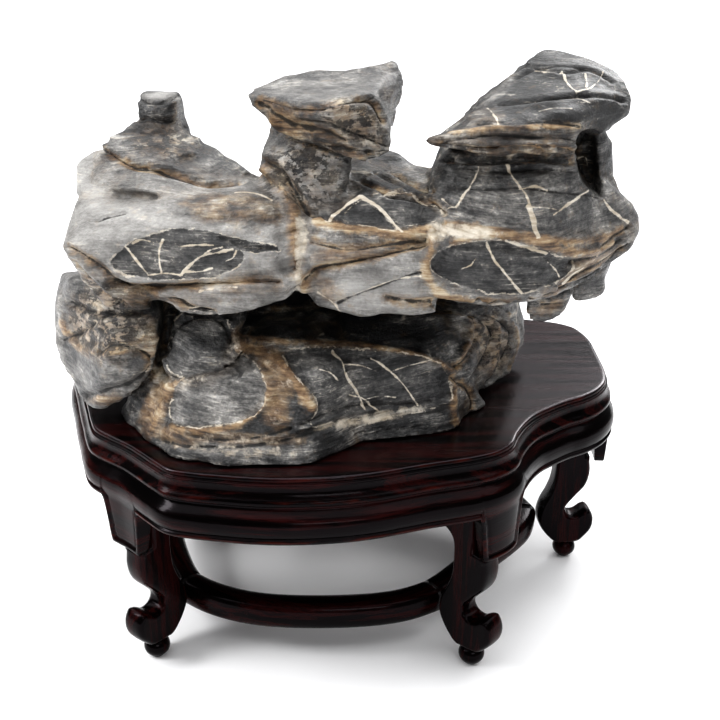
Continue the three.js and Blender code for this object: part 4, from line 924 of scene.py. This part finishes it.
def lattice_noise(axes, size, seed, stretch=(1, 1, 1)):
    """Smooth noise, -1 to 1, on a grid given by its three axes, with features of one size."""
    draw = np.random.RandomState(seed)
    coords = [axis / (size * s) for axis, s in zip(axes, stretch)]
    low = [int(math.floor(c.min())) - 1 for c in coords]
    span = [int(math.floor(c.max())) + 3 - a for c, a in zip(coords, low)]
    values = draw.uniform(-1, 1, span).astype(np.float32)
    for k, c in enumerate(coords):
        t = c - low[k]
        i = np.floor(t).astype(int)
        f = t - i
        f = (f * f * (3 - 2 * f)).astype(np.float32)
        shape = [1, 1, 1]
        shape[k] = -1
        f = f.reshape(shape)
        values = np.take(values, i, axis=k) * (1 - f) + np.take(values, i + 1, axis=k) * f
    return values


def hull_distance(planes, x, y, z):
    """Distance past the outermost of a hull's planes on a grid, negative inside."""
    distance = np.full(np.broadcast_shapes(x.shape, y.shape, z.shape), -1e3, np.float32)
    for a, b, c, d in planes:
        np.maximum(distance, a * x + b * y + c * z + d, out=distance)
    return distance


def surface_nets(field, origin, cell):
    """Vertices and quads of the field's zero surface."""
    inside = field < 0
    nx, ny, nz = field.shape
    corner = [inside[a:nx - 1 + a, b:ny - 1 + b, c:nz - 1 + c]
              for a in (0, 1) for b in (0, 1) for c in (0, 1)]
    count = np.sum(corner, axis=0)
    active = (count > 0) & (count < 8)
    index = np.full(active.shape, -1, np.int32)
    cells = np.argwhere(active)
    index[active] = np.arange(len(cells))
    total = np.zeros((len(cells), 3))
    hits = np.zeros(len(cells))
    i, j, k = cells.T
    for axis in range(3):
        others = [a for a in range(3) if a != axis]
        for p in (0, 1):
            for q in (0, 1):
                start = [0, 0, 0]
                start[others[0]], start[others[1]] = p, q
                end = list(start)
                end[axis] = 1
                a = field[i + start[0], j + start[1], k + start[2]]
                b = field[i + end[0], j + end[1], k + end[2]]
                cross = (a < 0) != (b < 0)
                t = np.where(cross, a / np.where(cross, a - b, 1), 0)
                point = np.array(start, float) + t[:, None] * (np.array(end) - np.array(start))
                total += point * cross[:, None]
                hits += cross
    vertices = (cells + total / hits[:, None]) * cell + origin
    quads = []
    for axis in range(3):
        u, v = [(1, 2), (2, 0), (0, 1)][axis]
        lo = [slice(1, -1)] * 3
        lo[axis] = slice(0, -1)
        hi = [slice(1, -1)] * 3
        hi[axis] = slice(1, None)
        a, b = inside[tuple(lo)], inside[tuple(hi)]
        for flip, mask in ((False, a & ~b), (True, ~a & b)):
            at = np.argwhere(mask)
            at += [0 if k == axis else 1 for k in range(3)]
            ring = []
            for du, dv in ((-1, -1), (0, -1), (0, 0), (-1, 0)):
                near = at.copy()
                near[:, u] += du
                near[:, v] += dv
                ring.append(index[near[:, 0], near[:, 1], near[:, 2]])
            quad = np.stack(ring, 1)
            quads.append(quad[:, ::-1] if flip else quad)
    return vertices, np.vstack(quads)


def stone_field():
    """Signed distance, roughly, to the stone's surface on a grid, with its tone and seams."""
    every = np.array([c for _, _, corners in STONE_MASSES.values() for c in corners], float)
    low = every.min(0) - 9
    low[2] = FLOOR_OF_STONE - 2.5 * CELL
    size = np.ceil((every.max(0) + 9 - low) / CELL).astype(int)
    axes = [(low[k] + CELL * np.arange(size[k])).astype(np.float32) for k in range(3)]
    field = np.full(size, 99, np.float32)
    nearest = np.full(size, 99, np.float32)
    second = np.full(size, 99, np.float32)
    tone = np.zeros(size, np.float32)
    weight = np.full(size, 1e-9, np.float32)
    for shade, soft, corners in STONE_MASSES.values():
        planes = hull_planes(corners).astype(np.float32)
        # A mass is worked out only on the part of the grid within 24 mm of it.
        reach = 24
        block = tuple(slice(max(0, int((min(c[k] for c in corners) - reach - low[k]) / CELL)),
                            int((max(c[k] for c in corners) + reach - low[k]) / CELL) + 1)
                      for k in range(3))
        x, y, z = np.meshgrid(*[axes[k][block[k]] for k in range(3)], indexing="ij", sparse=True)
        # Its edges are worn round, and its faces stand 1.2 mm out to make up for it.
        k = soft * 0.45
        top = hull_distance(planes, x, y, z)
        total = np.zeros_like(top)
        for a, b, c, d in planes:
            total += np.exp(((a * x + b * y + c * z + d) - top) / k)
        distance = top + k * np.log(total) - 1.2
        old = nearest[block]
        second[block] = np.where(distance < old, old, np.minimum(second[block], distance))
        nearest[block] = np.minimum(old, distance)
        field[block] = np.where(np.abs(field[block] - distance) < JOIN,
                                smooth_min(field[block], distance, JOIN),
                                np.minimum(field[block], distance))
        share = np.exp(-np.clip(distance, -20, 30) / 3.5)
        tone[block] += shade * share
        weight[block] += share
    for soft, corners in STONE_HOLLOWS.values():
        planes = hull_planes(corners).astype(np.float32)
        top = hull_distance(planes, *np.meshgrid(*axes, indexing="ij", sparse=True))
        field = -smooth_min(-field, top, soft)
    return axes, low, field, second - nearest, tone / weight


def drawing_place(points):
    """Where points fall in the drawing of the show side, and how far behind it they are."""
    x, y, z = points.T
    c, s = math.cos(math.radians(CAMERA_DOWN)), math.sin(math.radians(CAMERA_DOWN))
    return np.stack([x, z * c + y * s], 1), y * c - z * s


def seen_share(points, normals):
    """1 where the show side's drawing falls on the surface, fading to 0 round the sides."""
    place, depth = drawing_place(points)
    cells = np.floor((place - place.min(0)) / 3).astype(int)
    nearest = np.full(cells.max(0) + 1, 1e3)
    np.minimum.at(nearest, (cells[:, 0], cells[:, 1]), depth)
    hidden = depth - nearest[cells[:, 0], cells[:, 1]]
    tilt = math.radians(CAMERA_DOWN)
    facing = math.sin(tilt) * normals[:, 2] - math.cos(tilt) * normals[:, 1]
    return smoothstep(0.02, 0.25, facing) * smoothstep(22, 10, hidden)


def line_distance(place, line, closed=False):
    """Distance in the drawing from each place to a drawn line."""
    line = np.array(line, float)
    if closed:
        line = np.vstack([line, line[:1]])
    out = np.full(len(place), 99.0)
    near = ((place > line.min(0) - 14) & (place < line.max(0) + 14)).all(1)
    p = place[near]
    best = np.full(len(p), 99.0)
    for a, b in zip(line[:-1], line[1:]):
        step = b - a
        t = np.clip((p - a) @ step / (step @ step), 0, 1)
        best = np.minimum(best, np.linalg.norm(p - a - t[:, None] * step, axis=1))
    out[near] = best
    return out


def rounded(line, closed=False):
    """The drawn line through the same points, as a smooth curve."""
    p = np.array(line, float)
    ends = (p[-1], p[0], p[1]) if closed else (2 * p[0] - p[1], 2 * p[-1] - p[-2], None)
    p = np.vstack([ends[0], p, ends[1]] + ([ends[2]] if closed else []))
    out = []
    for p0, p1, p2, p3 in zip(p, p[1:], p[2:], p[3:]):
        for f in (0, 0.25, 0.5, 0.75):
            out.append(spline(p0, p1, p2, p3, f))
    return out if closed else out + [p[-2]]


def outline_distance(place, line):
    """Signed distance to a closed outline in the drawing, negative inside."""
    line = np.array(rounded(line, closed=True))
    inside = np.zeros(len(place), bool)
    x, y = place.T
    for (ax, ay), (bx, by) in zip(line, np.roll(line, -1, 0)):
        if ay != by:
            inside ^= ((ay > y) != (by > y)) & (x < (bx - ax) * (y - ay) / (by - ay) + ax)
    distance = line_distance(place, line, closed=True)
    return np.where(inside, -distance, distance)


def point_normals(points, quads):
    a = points[quads[:, 2]] - points[quads[:, 0]]
    b = points[quads[:, 3]] - points[quads[:, 1]]
    face = np.cross(a, b)
    normals = np.stack([
        sum(np.bincount(quads[:, c], face[:, k], len(points)) for c in range(4))
        for k in range(3)], 1)
    return normals / (np.linalg.norm(normals, axis=1)[:, None] + 1e-9)


def split_faces(table, faces, chosen):
    """Splits the chosen faces into quads about their middles; neighbours take the new points."""
    middles, extra = {}, []
    first = len(table)
    for face, split in zip(faces, chosen):
        if split:
            for a, b in zip(face, face[1:] + face[:1]):
                if (min(a, b), max(a, b)) not in middles:
                    middles[min(a, b), max(a, b)] = first + len(extra)
                    extra.append((table[a] + table[b]) / 2)
    made = []
    for face, split in zip(faces, chosen):
        mids = [middles.get((min(a, b), max(a, b))) for a, b in zip(face, face[1:] + face[:1])]
        if split:
            extra.append(table[face].mean(0))
            centre = first + len(extra) - 1
            made += [[face[k], mids[k], centre, mids[k - 1]] for k in range(len(face))]
        else:
            made.append([v for pair in zip(face, mids) for v in pair if v is not None])
    return np.vstack([table, extra]), made


def near_lines(points, seen, lines):
    """Distance in the drawing from each seen point to the nearest of some drawn lines."""
    place, _ = drawing_place(points)
    near = np.full(len(points), 99.0)
    for line in lines:
        near = np.minimum(near, line_distance(place, line))
    return near + 99 * (seen < 0.1)


def weathering(axes):
    """How far the weather has worn the surface back, in mm on the grid, and the beds in it."""
    # Broad dents, then streaks drawn out along the bedding, then grit.
    relief = 2.4 * np.abs(lattice_noise(axes, 34, 3)) - 0.9
    relief += 1.7 * np.abs(lattice_noise(axes, 15, 5, (1.8, 1.4, 0.8))) - 0.5
    relief += 0.7 * lattice_noise(axes, 5.2, 7, (5.0, 4.0, 0.9))
    relief += 0.4 * lattice_noise(axes, 4.6, 9, (1.4, 1.2, 0.9))
    # Beds 6.5 mm thick, weathered into low steps where the noise leaves them bare.
    x, y, z = np.meshgrid(*axes, indexing="ij", sparse=True)
    bed = (z + 0.12 * x - 0.1 * y + 11 * lattice_noise(axes, 70, 11)
           + 2.0 * lattice_noise(axes, 18, 13)) / 6.5
    bed = np.tanh(2.6 * np.sin(2 * math.pi * bed))
    bed *= smoothstep(-0.2, 0.5, lattice_noise(axes, 30, 17))
    return relief + 0.55 * bed, bed


def drawn_marks(place):
    """How far the drawn marks push the surface out, the distance to each kind, and the panels'
    tone, for places in the drawing."""
    push = np.zeros(len(place))
    crease, pit_shade, leaf, vein = np.full((4, len(place)), FAR)
    for half, depth, line in SEAMS.values():
        distance = line_distance(place, rounded(line))
        if depth > 0:
            push -= 1.5 * depth * np.exp(-(distance / (half + 0.4)) ** 2)
            push += 0.45 * depth * np.exp(-((distance - half - 2.6) / 1.8) ** 2)
            # Painted shade: a dark line along the bottom of the groove.
            pit_shade = np.minimum(pit_shade, distance - 0.32 * half)
        else:
            push -= 0.9 * depth * np.exp(-(distance / (half + 1.0)) ** 2)
            push += 0.5 * depth * np.exp(-((distance - half - 4.0) / 2.2) ** 2)
        if abs(depth) > CLAY_DEPTH or depth < 0:
            crease = np.minimum(crease, distance - half)
    leaf_tone = np.zeros(len(place))
    for shade, line in PANELS.values():
        distance = outline_distance(place, line)
        leaf_tone[distance < 3] = shade
        push -= 0.9 * smoothstep(0.8, -1.6, distance)
        push += 0.5 * np.exp(-((distance - 2.4) / 1.6) ** 2)
        leaf = np.minimum(leaf, distance)
    for depth, line in HOLLOW_MARKS.values():
        distance = outline_distance(place, line)
        push -= depth * smoothstep(0.5, -5, distance)
        leaf = np.minimum(leaf, distance)
    for half, line in VEINS.values():
        distance = line_distance(place, rounded(line))
        push += 0.35 * np.exp(-(distance / (half + 0.6)) ** 2)
        vein = np.minimum(vein, distance - half)
    return push, crease, pit_shade, leaf, leaf_tone, vein


def patch_shares(place):
    """How much clay, chalk and broken skin the patches give to places in the drawing, and how
    much lighter they make the stone: painted shade in the caves and the notch, a painted sheen on
    the head's left plane."""
    clay, chalk, rugged, lighter = np.zeros((4, len(place)))
    for (u, v), (long, short), angle, tan, cream, broken, shade in PATCHES.values():
        a = math.radians(angle)
        du, dv = place[:, 0] - u, place[:, 1] - v
        along = (du * math.cos(a) + dv * math.sin(a)) / long
        across = (dv * math.cos(a) - du * math.sin(a)) / short
        share = smoothstep(1.35, 0.5, np.hypot(along, across))
        clay = np.maximum(clay, tan * share)
        chalk = np.maximum(chalk, cream * share)
        rugged = np.maximum(rugged, broken * share)
        lighter = lighter + shade * share
    return clay, chalk, rugged, lighter


def build_stone(material, shift):
    axes, low, field, seam, tone = stone_field()
    relief, bed = weathering(axes)
    field = np.maximum(field + relief, FLOOR_OF_STONE - axes[2][None, None, :])
    vertices, quads = surface_nets(field, low, CELL)
    normals = point_normals(vertices, quads)
    i, j, k = np.clip(np.round((vertices - low) / CELL).astype(int), 0,
                      np.array(field.shape) - 1).T
    seen = seen_share(vertices, normals)
    table = np.column_stack([vertices, normals, seen, tone[i, j, k], seam[i, j, k], bed[i, j, k]])
    faces = quads.tolist()
    veins = [rounded(line) for _, line in VEINS.values()]
    marks = veins + [rounded(line) for _, depth, line in SEAMS.values() if depth > 0]
    for _, line in PANELS.values():
        outline = rounded(line, closed=True)
        marks.append(outline + outline[:1])
    for lines, reach in ((marks, 0.75 * CELL), (veins, 0.4 * CELL)):
        near = near_lines(table[:, :3], table[:, 6], lines)
        table, faces = split_faces(table, faces, [near[face].min() < reach for face in faces])
    vertices, normals = table[:, :3], table[:, 3:6]
    seen, tone, seam, bed = table[:, 6:].T
    place, _ = drawing_place(vertices)
    push, crease, pit_shade, leaf, leaf_tone, vein = drawn_marks(place)
    clay, chalk, rugged, lighter = patch_shares(place)
    clay, chalk, rugged = clay * seen, chalk * seen, rugged * seen
    tone = tone + lighter * seen
    vertices = vertices + normals * (push * seen)[:, None]
    vertices[:, 2] = np.maximum(vertices[:, 2], FLOOR_OF_STONE)
    stone = piece("stone", vertices + shift, faces, material)
    for word, values in (("tone", tone), ("seam_mm", seam), ("bed", bed),
                         ("leaf_tone", leaf_tone), ("clay", clay), ("chalk", chalk),
                         ("rugged", rugged + 0.55 * (1 - seen)), ("unseen", 1 - seen)):
        give(stone, word, values)
    for word, distance, least in (("crease_mm", crease, -4), ("pit_shade_mm", pit_shade, -4),
                                  ("leaf_mm", leaf, -8), ("vein_mm", vein, -4)):
        give(stone, word, np.clip(distance, least, FAR) + FAR * (1 - seen))
    plain = smoothstep(1.5, 5, near_lines(table[:, :3], seen, marks))
    lighten_plain_faces(stone, np.maximum(1 - seen, 0.1 * plain))
    settle(stone, "scholars_rock")
    return stone


def lighten_plain_faces(stone, share):
    """Fewer, larger faces where the stone faces away from the show side or has no marks."""
    group = stone.vertex_groups.new(name="plain")
    steps = np.round(np.clip(share, 0, 1) * 10).astype(int)
    for step in range(1, 11):
        group.add(np.where(steps == step)[0].tolist(), step / 10, "REPLACE")
    faces = sum(len(face.vertices) - 2 for face in stone.data.polygons)
    thin = stone.modifiers.new("thin", "DECIMATE")
    thin.vertex_group = group.name
    thin.ratio = min(1.0, MOST_FACES / faces)
    bpy.context.view_layer.objects.active = stone
    bpy.ops.object.modifier_apply(modifier=thin.name)
    stone.vertex_groups.clear()


# ---------------------------------------------------------------- the stone's surface
# Hand-rubbed limestone: charcoal beds with paler grey ones, streaked along the bedding, tan clay
# seams in the creases and thin cream calcite veins. The rubbing leaves a soft satin sheen.


def limestone(name):
    material = bpy.data.materials.new(name)
    material.use_nodes = True
    tree = material.node_tree
    shader = tree.nodes["Principled BSDF"]
    place = add(tree, "TexCoord", output="Object")
    measured = {word: add(tree, "Attribute", output="Fac", attribute_name=word) for word in (
        "tone", "seam_mm", "bed", "crease_mm", "pit_shade_mm", "leaf_mm", "leaf_tone", "vein_mm",
        "clay", "chalk", "rugged", "unseen")}

    # The bedding runs in slow waves, 100 mm long and 5 mm high, and dips 8 degrees.
    wave = add(tree, "TexNoise", {"Vector": place, "Scale": 10, "Detail": 1}, "Color")
    wave = add(tree, "VectorMath", {0: wave, 1: (0.0, 0.0, 0.024)}, operation="MULTIPLY")
    bedding = add(tree, "VectorMath", {0: place, 1: wave}, operation="ADD")
    # Streaks 2 mm wide and 20 mm long, hairs 0.8 mm wide, mottles 15 mm across, broken
    # patches 8 mm across with sharp edges, and grains of 2 mm.
    pattern = {}
    for word, scale, detail, rough, stretch in (
            ("streaks", 1, 5, 0.62, (46, 55, 430)), ("hairs", 1, 3, 0.55, (90, 110, 1250)),
            ("mottles", 52, 6, 0.62, (1, 1, 1.5)), ("patches", 115, 8, 0.7, (1, 1, 1.4)),
            ("grains", 420, 4, 0.7, (1, 1, 1.4)), ("wander", 120, 6, 0.7, (1, 1, 1))):
        vector = add(tree, "Mapping", {"Vector": bedding, "Scale": stretch})
        pattern[word] = add(tree, "TexNoise", {
            "Vector": vector, "Scale": scale, "Detail": detail, "Roughness": rough}, "Fac")
    wander = add(tree, "MapRange", {"Value": pattern["wander"], "From Min": 0.3, "From Max": 0.7,
                                    "To Min": -1.0, "To Max": 1.0})

    # How light the grey is: streaks and mottles, strongest on the dark beds.
    gains = {"streaks": 0.65, "mottles": 1.7, "hairs": 0.55, "grains": 0.8}
    shade = -0.5 * sum(gains.values())
    for word, gain in gains.items():
        shade = add(tree, "Math", {0: pattern[word], 1: gain, 2: shade}, operation="MULTIPLY_ADD")
    shade = add(tree, "Math", {0: measured["bed"], 1: -0.05, 2: shade}, operation="MULTIPLY_ADD")
    strength = add(tree, "MapRange", {"Value": measured["tone"], "From Min": 0.35,
                                      "From Max": 0.75, "To Min": 1.2, "To Max": 0.36})
    level = add(tree, "Math", {0: shade, 1: strength, 2: measured["tone"]},
                operation="MULTIPLY_ADD")
    level = add(tree, "Math", {0: level, 1: 0.065}, operation="SUBTRACT")
    # Panels let into the surface, each with its own darkness.
    leaf = add(tree, "Math", {0: wander, 1: 1.1, 2: measured["leaf_mm"]}, operation="MULTIPLY_ADD")
    in_leaf = add(tree, "MapRange", {"Value": leaf, "From Min": -0.25, "From Max": 0.25,
                                     "To Min": 1.0, "To Max": 0.0})
    dark = add(tree, "Math", {0: measured["leaf_tone"], 1: 0.45, 2: 0.16},
               operation="MULTIPLY_ADD")
    dark = add(tree, "Math", {0: shade, 1: 0.9, 2: dark}, operation="MULTIPLY_ADD")
    level = add(tree, "Mix", {"Factor": in_leaf, "A": level, "B": dark}, data_type="FLOAT")
    # Broken places: the dark skin is left in sharp-edged patches.
    skin = add(tree, "MapRange", {"Value": pattern["patches"], "From Min": 0.49,
                                  "From Max": 0.51})
    skin = add(tree, "Math", {0: skin, 1: measured["rugged"]}, operation="MULTIPLY")
    skin_level = add(tree, "Math", {0: shade, 1: 0.6, 2: 0.13}, operation="MULTIPLY_ADD")
    level = add(tree, "Mix", {"Factor": skin, "A": level, "B": skin_level}, data_type="FLOAT")
    grey = add(tree, "ValToRGB", {"Fac": level}, stops=(
        (0.0, "#131314"), (0.16, "#29292a"), (0.36, "#4c4b4a"), (0.58, "#7b7976"),
        (0.8, "#aba9a6"), (1.0, "#cfcdc9")))

    # Clay in the creases, on patches, and on the far sides where the masses meet.
    crease = add(tree, "Math", {0: wander, 1: 2.2, 2: measured["crease_mm"]},
                 operation="MULTIPLY_ADD")
    crease = add(tree, "MapRange", {"Value": crease, "From Min": -1.2, "From Max": 1.6,
                                    "To Min": 0.8, "To Max": 0.0})
    joint = add(tree, "Math", {0: wander, 1: 6.0, 2: measured["seam_mm"]},
                operation="MULTIPLY_ADD")
    joint = add(tree, "MapRange", {"Value": joint, "From Min": -2.0, "From Max": 4.0,
                                   "To Min": 0.55, "To Max": 0.0})
    far_joint = add(tree, "MapRange", {"Value": measured["unseen"], "To Min": 0.35, "To Max": 1.0})
    joint = add(tree, "Math", {0: joint, 1: far_joint}, operation="MULTIPLY")
    clay = add(tree, "Math", {0: wander, 1: 0.35, 2: measured["clay"]}, operation="MULTIPLY_ADD")
    clay = add(tree, "Math", {0: clay, 1: 0.12}, operation="SUBTRACT")
    clay = add(tree, "Math", {0: clay, 1: crease}, operation="MAXIMUM")
    clay = add(tree, "Math", {0: clay, 1: joint}, operation="MAXIMUM")
    bare = add(tree, "Math", {0: in_leaf, 1: skin}, operation="MAXIMUM")
    bare = add(tree, "MapRange", {"Value": bare, "To Min": 1.0, "To Max": 0.12})
    clay = add(tree, "Math", {0: clay, 1: bare}, operation="MULTIPLY", use_clamp=True)
    earth = add(tree, "Mix", {"Factor": 0.5, "A": pattern["streaks"], "B": pattern["mottles"]},
                data_type="FLOAT")
    earth = add(tree, "ValToRGB", {"Fac": earth}, stops=(
        (0.37, "#34261a"), (0.45, "#765a3e"), (0.53, "#ab8e68"), (0.62, "#d8c8aa")))
    colour = add(tree, "Mix", {"Factor": clay, "A": grey, "B": earth}, data_type="RGBA")
    # Painted shade: a near-black line along the bottom of each groove.
    pit_shade = add(tree, "Math", {0: wander, 1: 0.7, 2: measured["pit_shade_mm"]}, operation="MULTIPLY_ADD")
    pit_shade = add(tree, "MapRange", {"Value": pit_shade, "From Min": -0.1, "From Max": 0.5,
                                 "To Min": 0.94, "To Max": 0.0})
    colour = add(tree, "Mix", {"Factor": pit_shade, "A": colour, "B": linear("#0e0b09")},
                 data_type="RGBA")

    # Cream calcite: chalky patches, thin veins, a broken line round the panels, and scratches
    # 0.8 mm wide along the bedding of the darkest stone.
    chalk = add(tree, "Math", {0: wander, 1: 0.35, 2: measured["chalk"]},
                operation="MULTIPLY_ADD")
    chalk = add(tree, "MapRange", {"Value": chalk, "From Min": 0.35, "From Max": 0.7,
                                   "To Min": 0.0, "To Max": 0.85})
    vein = add(tree, "Math", {0: wander, 1: 0.7, 2: measured["vein_mm"]},
               operation="MULTIPLY_ADD")
    vein = add(tree, "MapRange", {"Value": vein, "From Min": -0.3, "From Max": 0.1,
                                  "To Min": 0.95, "To Max": 0.0})
    line = add(tree, "Math", {0: leaf, 1: 0.5, 2: 0.45}, operation="COMPARE")
    bits = add(tree, "MapRange", {"Value": pattern["patches"], "From Min": 0.47,
                                  "From Max": 0.53, "To Min": 0.0, "To Max": 0.7})
    line = add(tree, "Math", {0: line, 1: bits}, operation="MULTIPLY")
    scratch = add(tree, "MapRange", {"Value": pattern["hairs"], "From Min": 0.6,
                                     "From Max": 0.66, "To Min": 0.0, "To Max": 0.4})
    flecks = add(tree, "MapRange", {"Value": pattern["grains"], "From Min": 0.62,
                                    "From Max": 0.67, "To Min": 0.0, "To Max": 0.7})
    scratch = add(tree, "Math", {0: scratch, 1: flecks}, operation="MAXIMUM")
    where = add(tree, "MapRange", {"Value": pattern["mottles"], "From Min": 0.5,
                                   "From Max": 0.6})
    scratch = add(tree, "Math", {0: scratch, 1: where}, operation="MULTIPLY")
    cell_place = add(tree, "TexNoise", {"Vector": place, "Scale": 40, "Detail": 3}, "Color")
    cell_place = add(tree, "Mix", {"Factor": 0.03, "A": place, "B": cell_place},
                     data_type="VECTOR")
    # Far-side veins enclose cells about 60 mm across.
    cells = add(tree, "TexVoronoi", {"Vector": cell_place, "Scale": 17},
                feature="DISTANCE_TO_EDGE")
    far_vein = add(tree, "MapRange", {"Value": cells, "From Max": 0.035, "To Min": 1.0,
                                      "To Max": 0.0})
    far_vein = add(tree, "Math", {0: far_vein, 1: measured["unseen"]}, operation="MULTIPLY")
    far_vein = add(tree, "Math", {0: far_vein, 1: where}, operation="MULTIPLY")
    pale = chalk
    for mask in (vein, line, scratch, far_vein):
        pale = add(tree, "Math", {0: pale, 1: mask}, operation="MAXIMUM")
    cream = add(tree, "ValToRGB", {"Fac": pattern["streaks"]}, stops=(
        (0.35, "#b9ab95"), (0.6, "#e8e0d2")))
    colour = add(tree, "Mix", {"Factor": pale, "A": colour, "B": cream}, data_type="RGBA")
    tree.links.new(colour, shader.inputs["Base Color"])

    rough = add(tree, "MapRange", {"Value": pattern["mottles"], "From Min": 0.35,
                                   "From Max": 0.65, "To Min": 0.34, "To Max": 0.55})
    tree.links.new(rough, shader.inputs["Roughness"])
    shader.inputs["Coat Weight"].default_value = 0.12
    shader.inputs["Coat Roughness"].default_value = 0.25
    height = 0.0
    for source, gain in ((pattern["streaks"], 0.6), (pattern["grains"], 0.6),
                         (pattern["hairs"], 0.25), (skin, -0.4), (pattern["patches"], 1.1)):
        height = add(tree, "Math", {0: source, 1: gain, 2: height}, operation="MULTIPLY_ADD")
    bump = add(tree, "Bump", {"Height": height, "Strength": 1.0, "Distance": 0.0022})
    tree.links.new(bump, shader.inputs["Normal"])
    return material


# ---------------------------------------------------------------- put together

# The stone's masses, its marks and the camera are drawn in mm in the source's own frame, where
# the front left ball foot stands at FRONT_LEFT_FOOT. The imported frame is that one, moved.
FRONT_LEFT_FOOT = (-127, -112)
front_foot = vertices_mm("leg_front_left")
front_foot = front_foot[front_foot[:, 2] < 0.05][:, :2]
front_foot = (front_foot.min(0) + front_foot.max(0)) / 2
SHIFT = np.array([front_foot[0] - FRONT_LEFT_FOOT[0], front_foot[1] - FRONT_LEFT_FOOT[1], 0])

build_studio(SHIFT)
polished_wood = rosewood("rosewood_polished_lacquer", 0.3)
carved_wood = rosewood("rosewood_thin_lacquer", 0.06)
outline = board_outline()
build_board(outline, polished_wood, carved_wood)
build_apron(outline, carved_wood)
for node in sorted(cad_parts):
    if node.startswith("leg_"):
        build_leg(node, carved_wood)
    if node.startswith("rail_"):
        build_rail(node, carved_wood)
build_stone(limestone("limestone_hand_rubbed"), SHIFT)
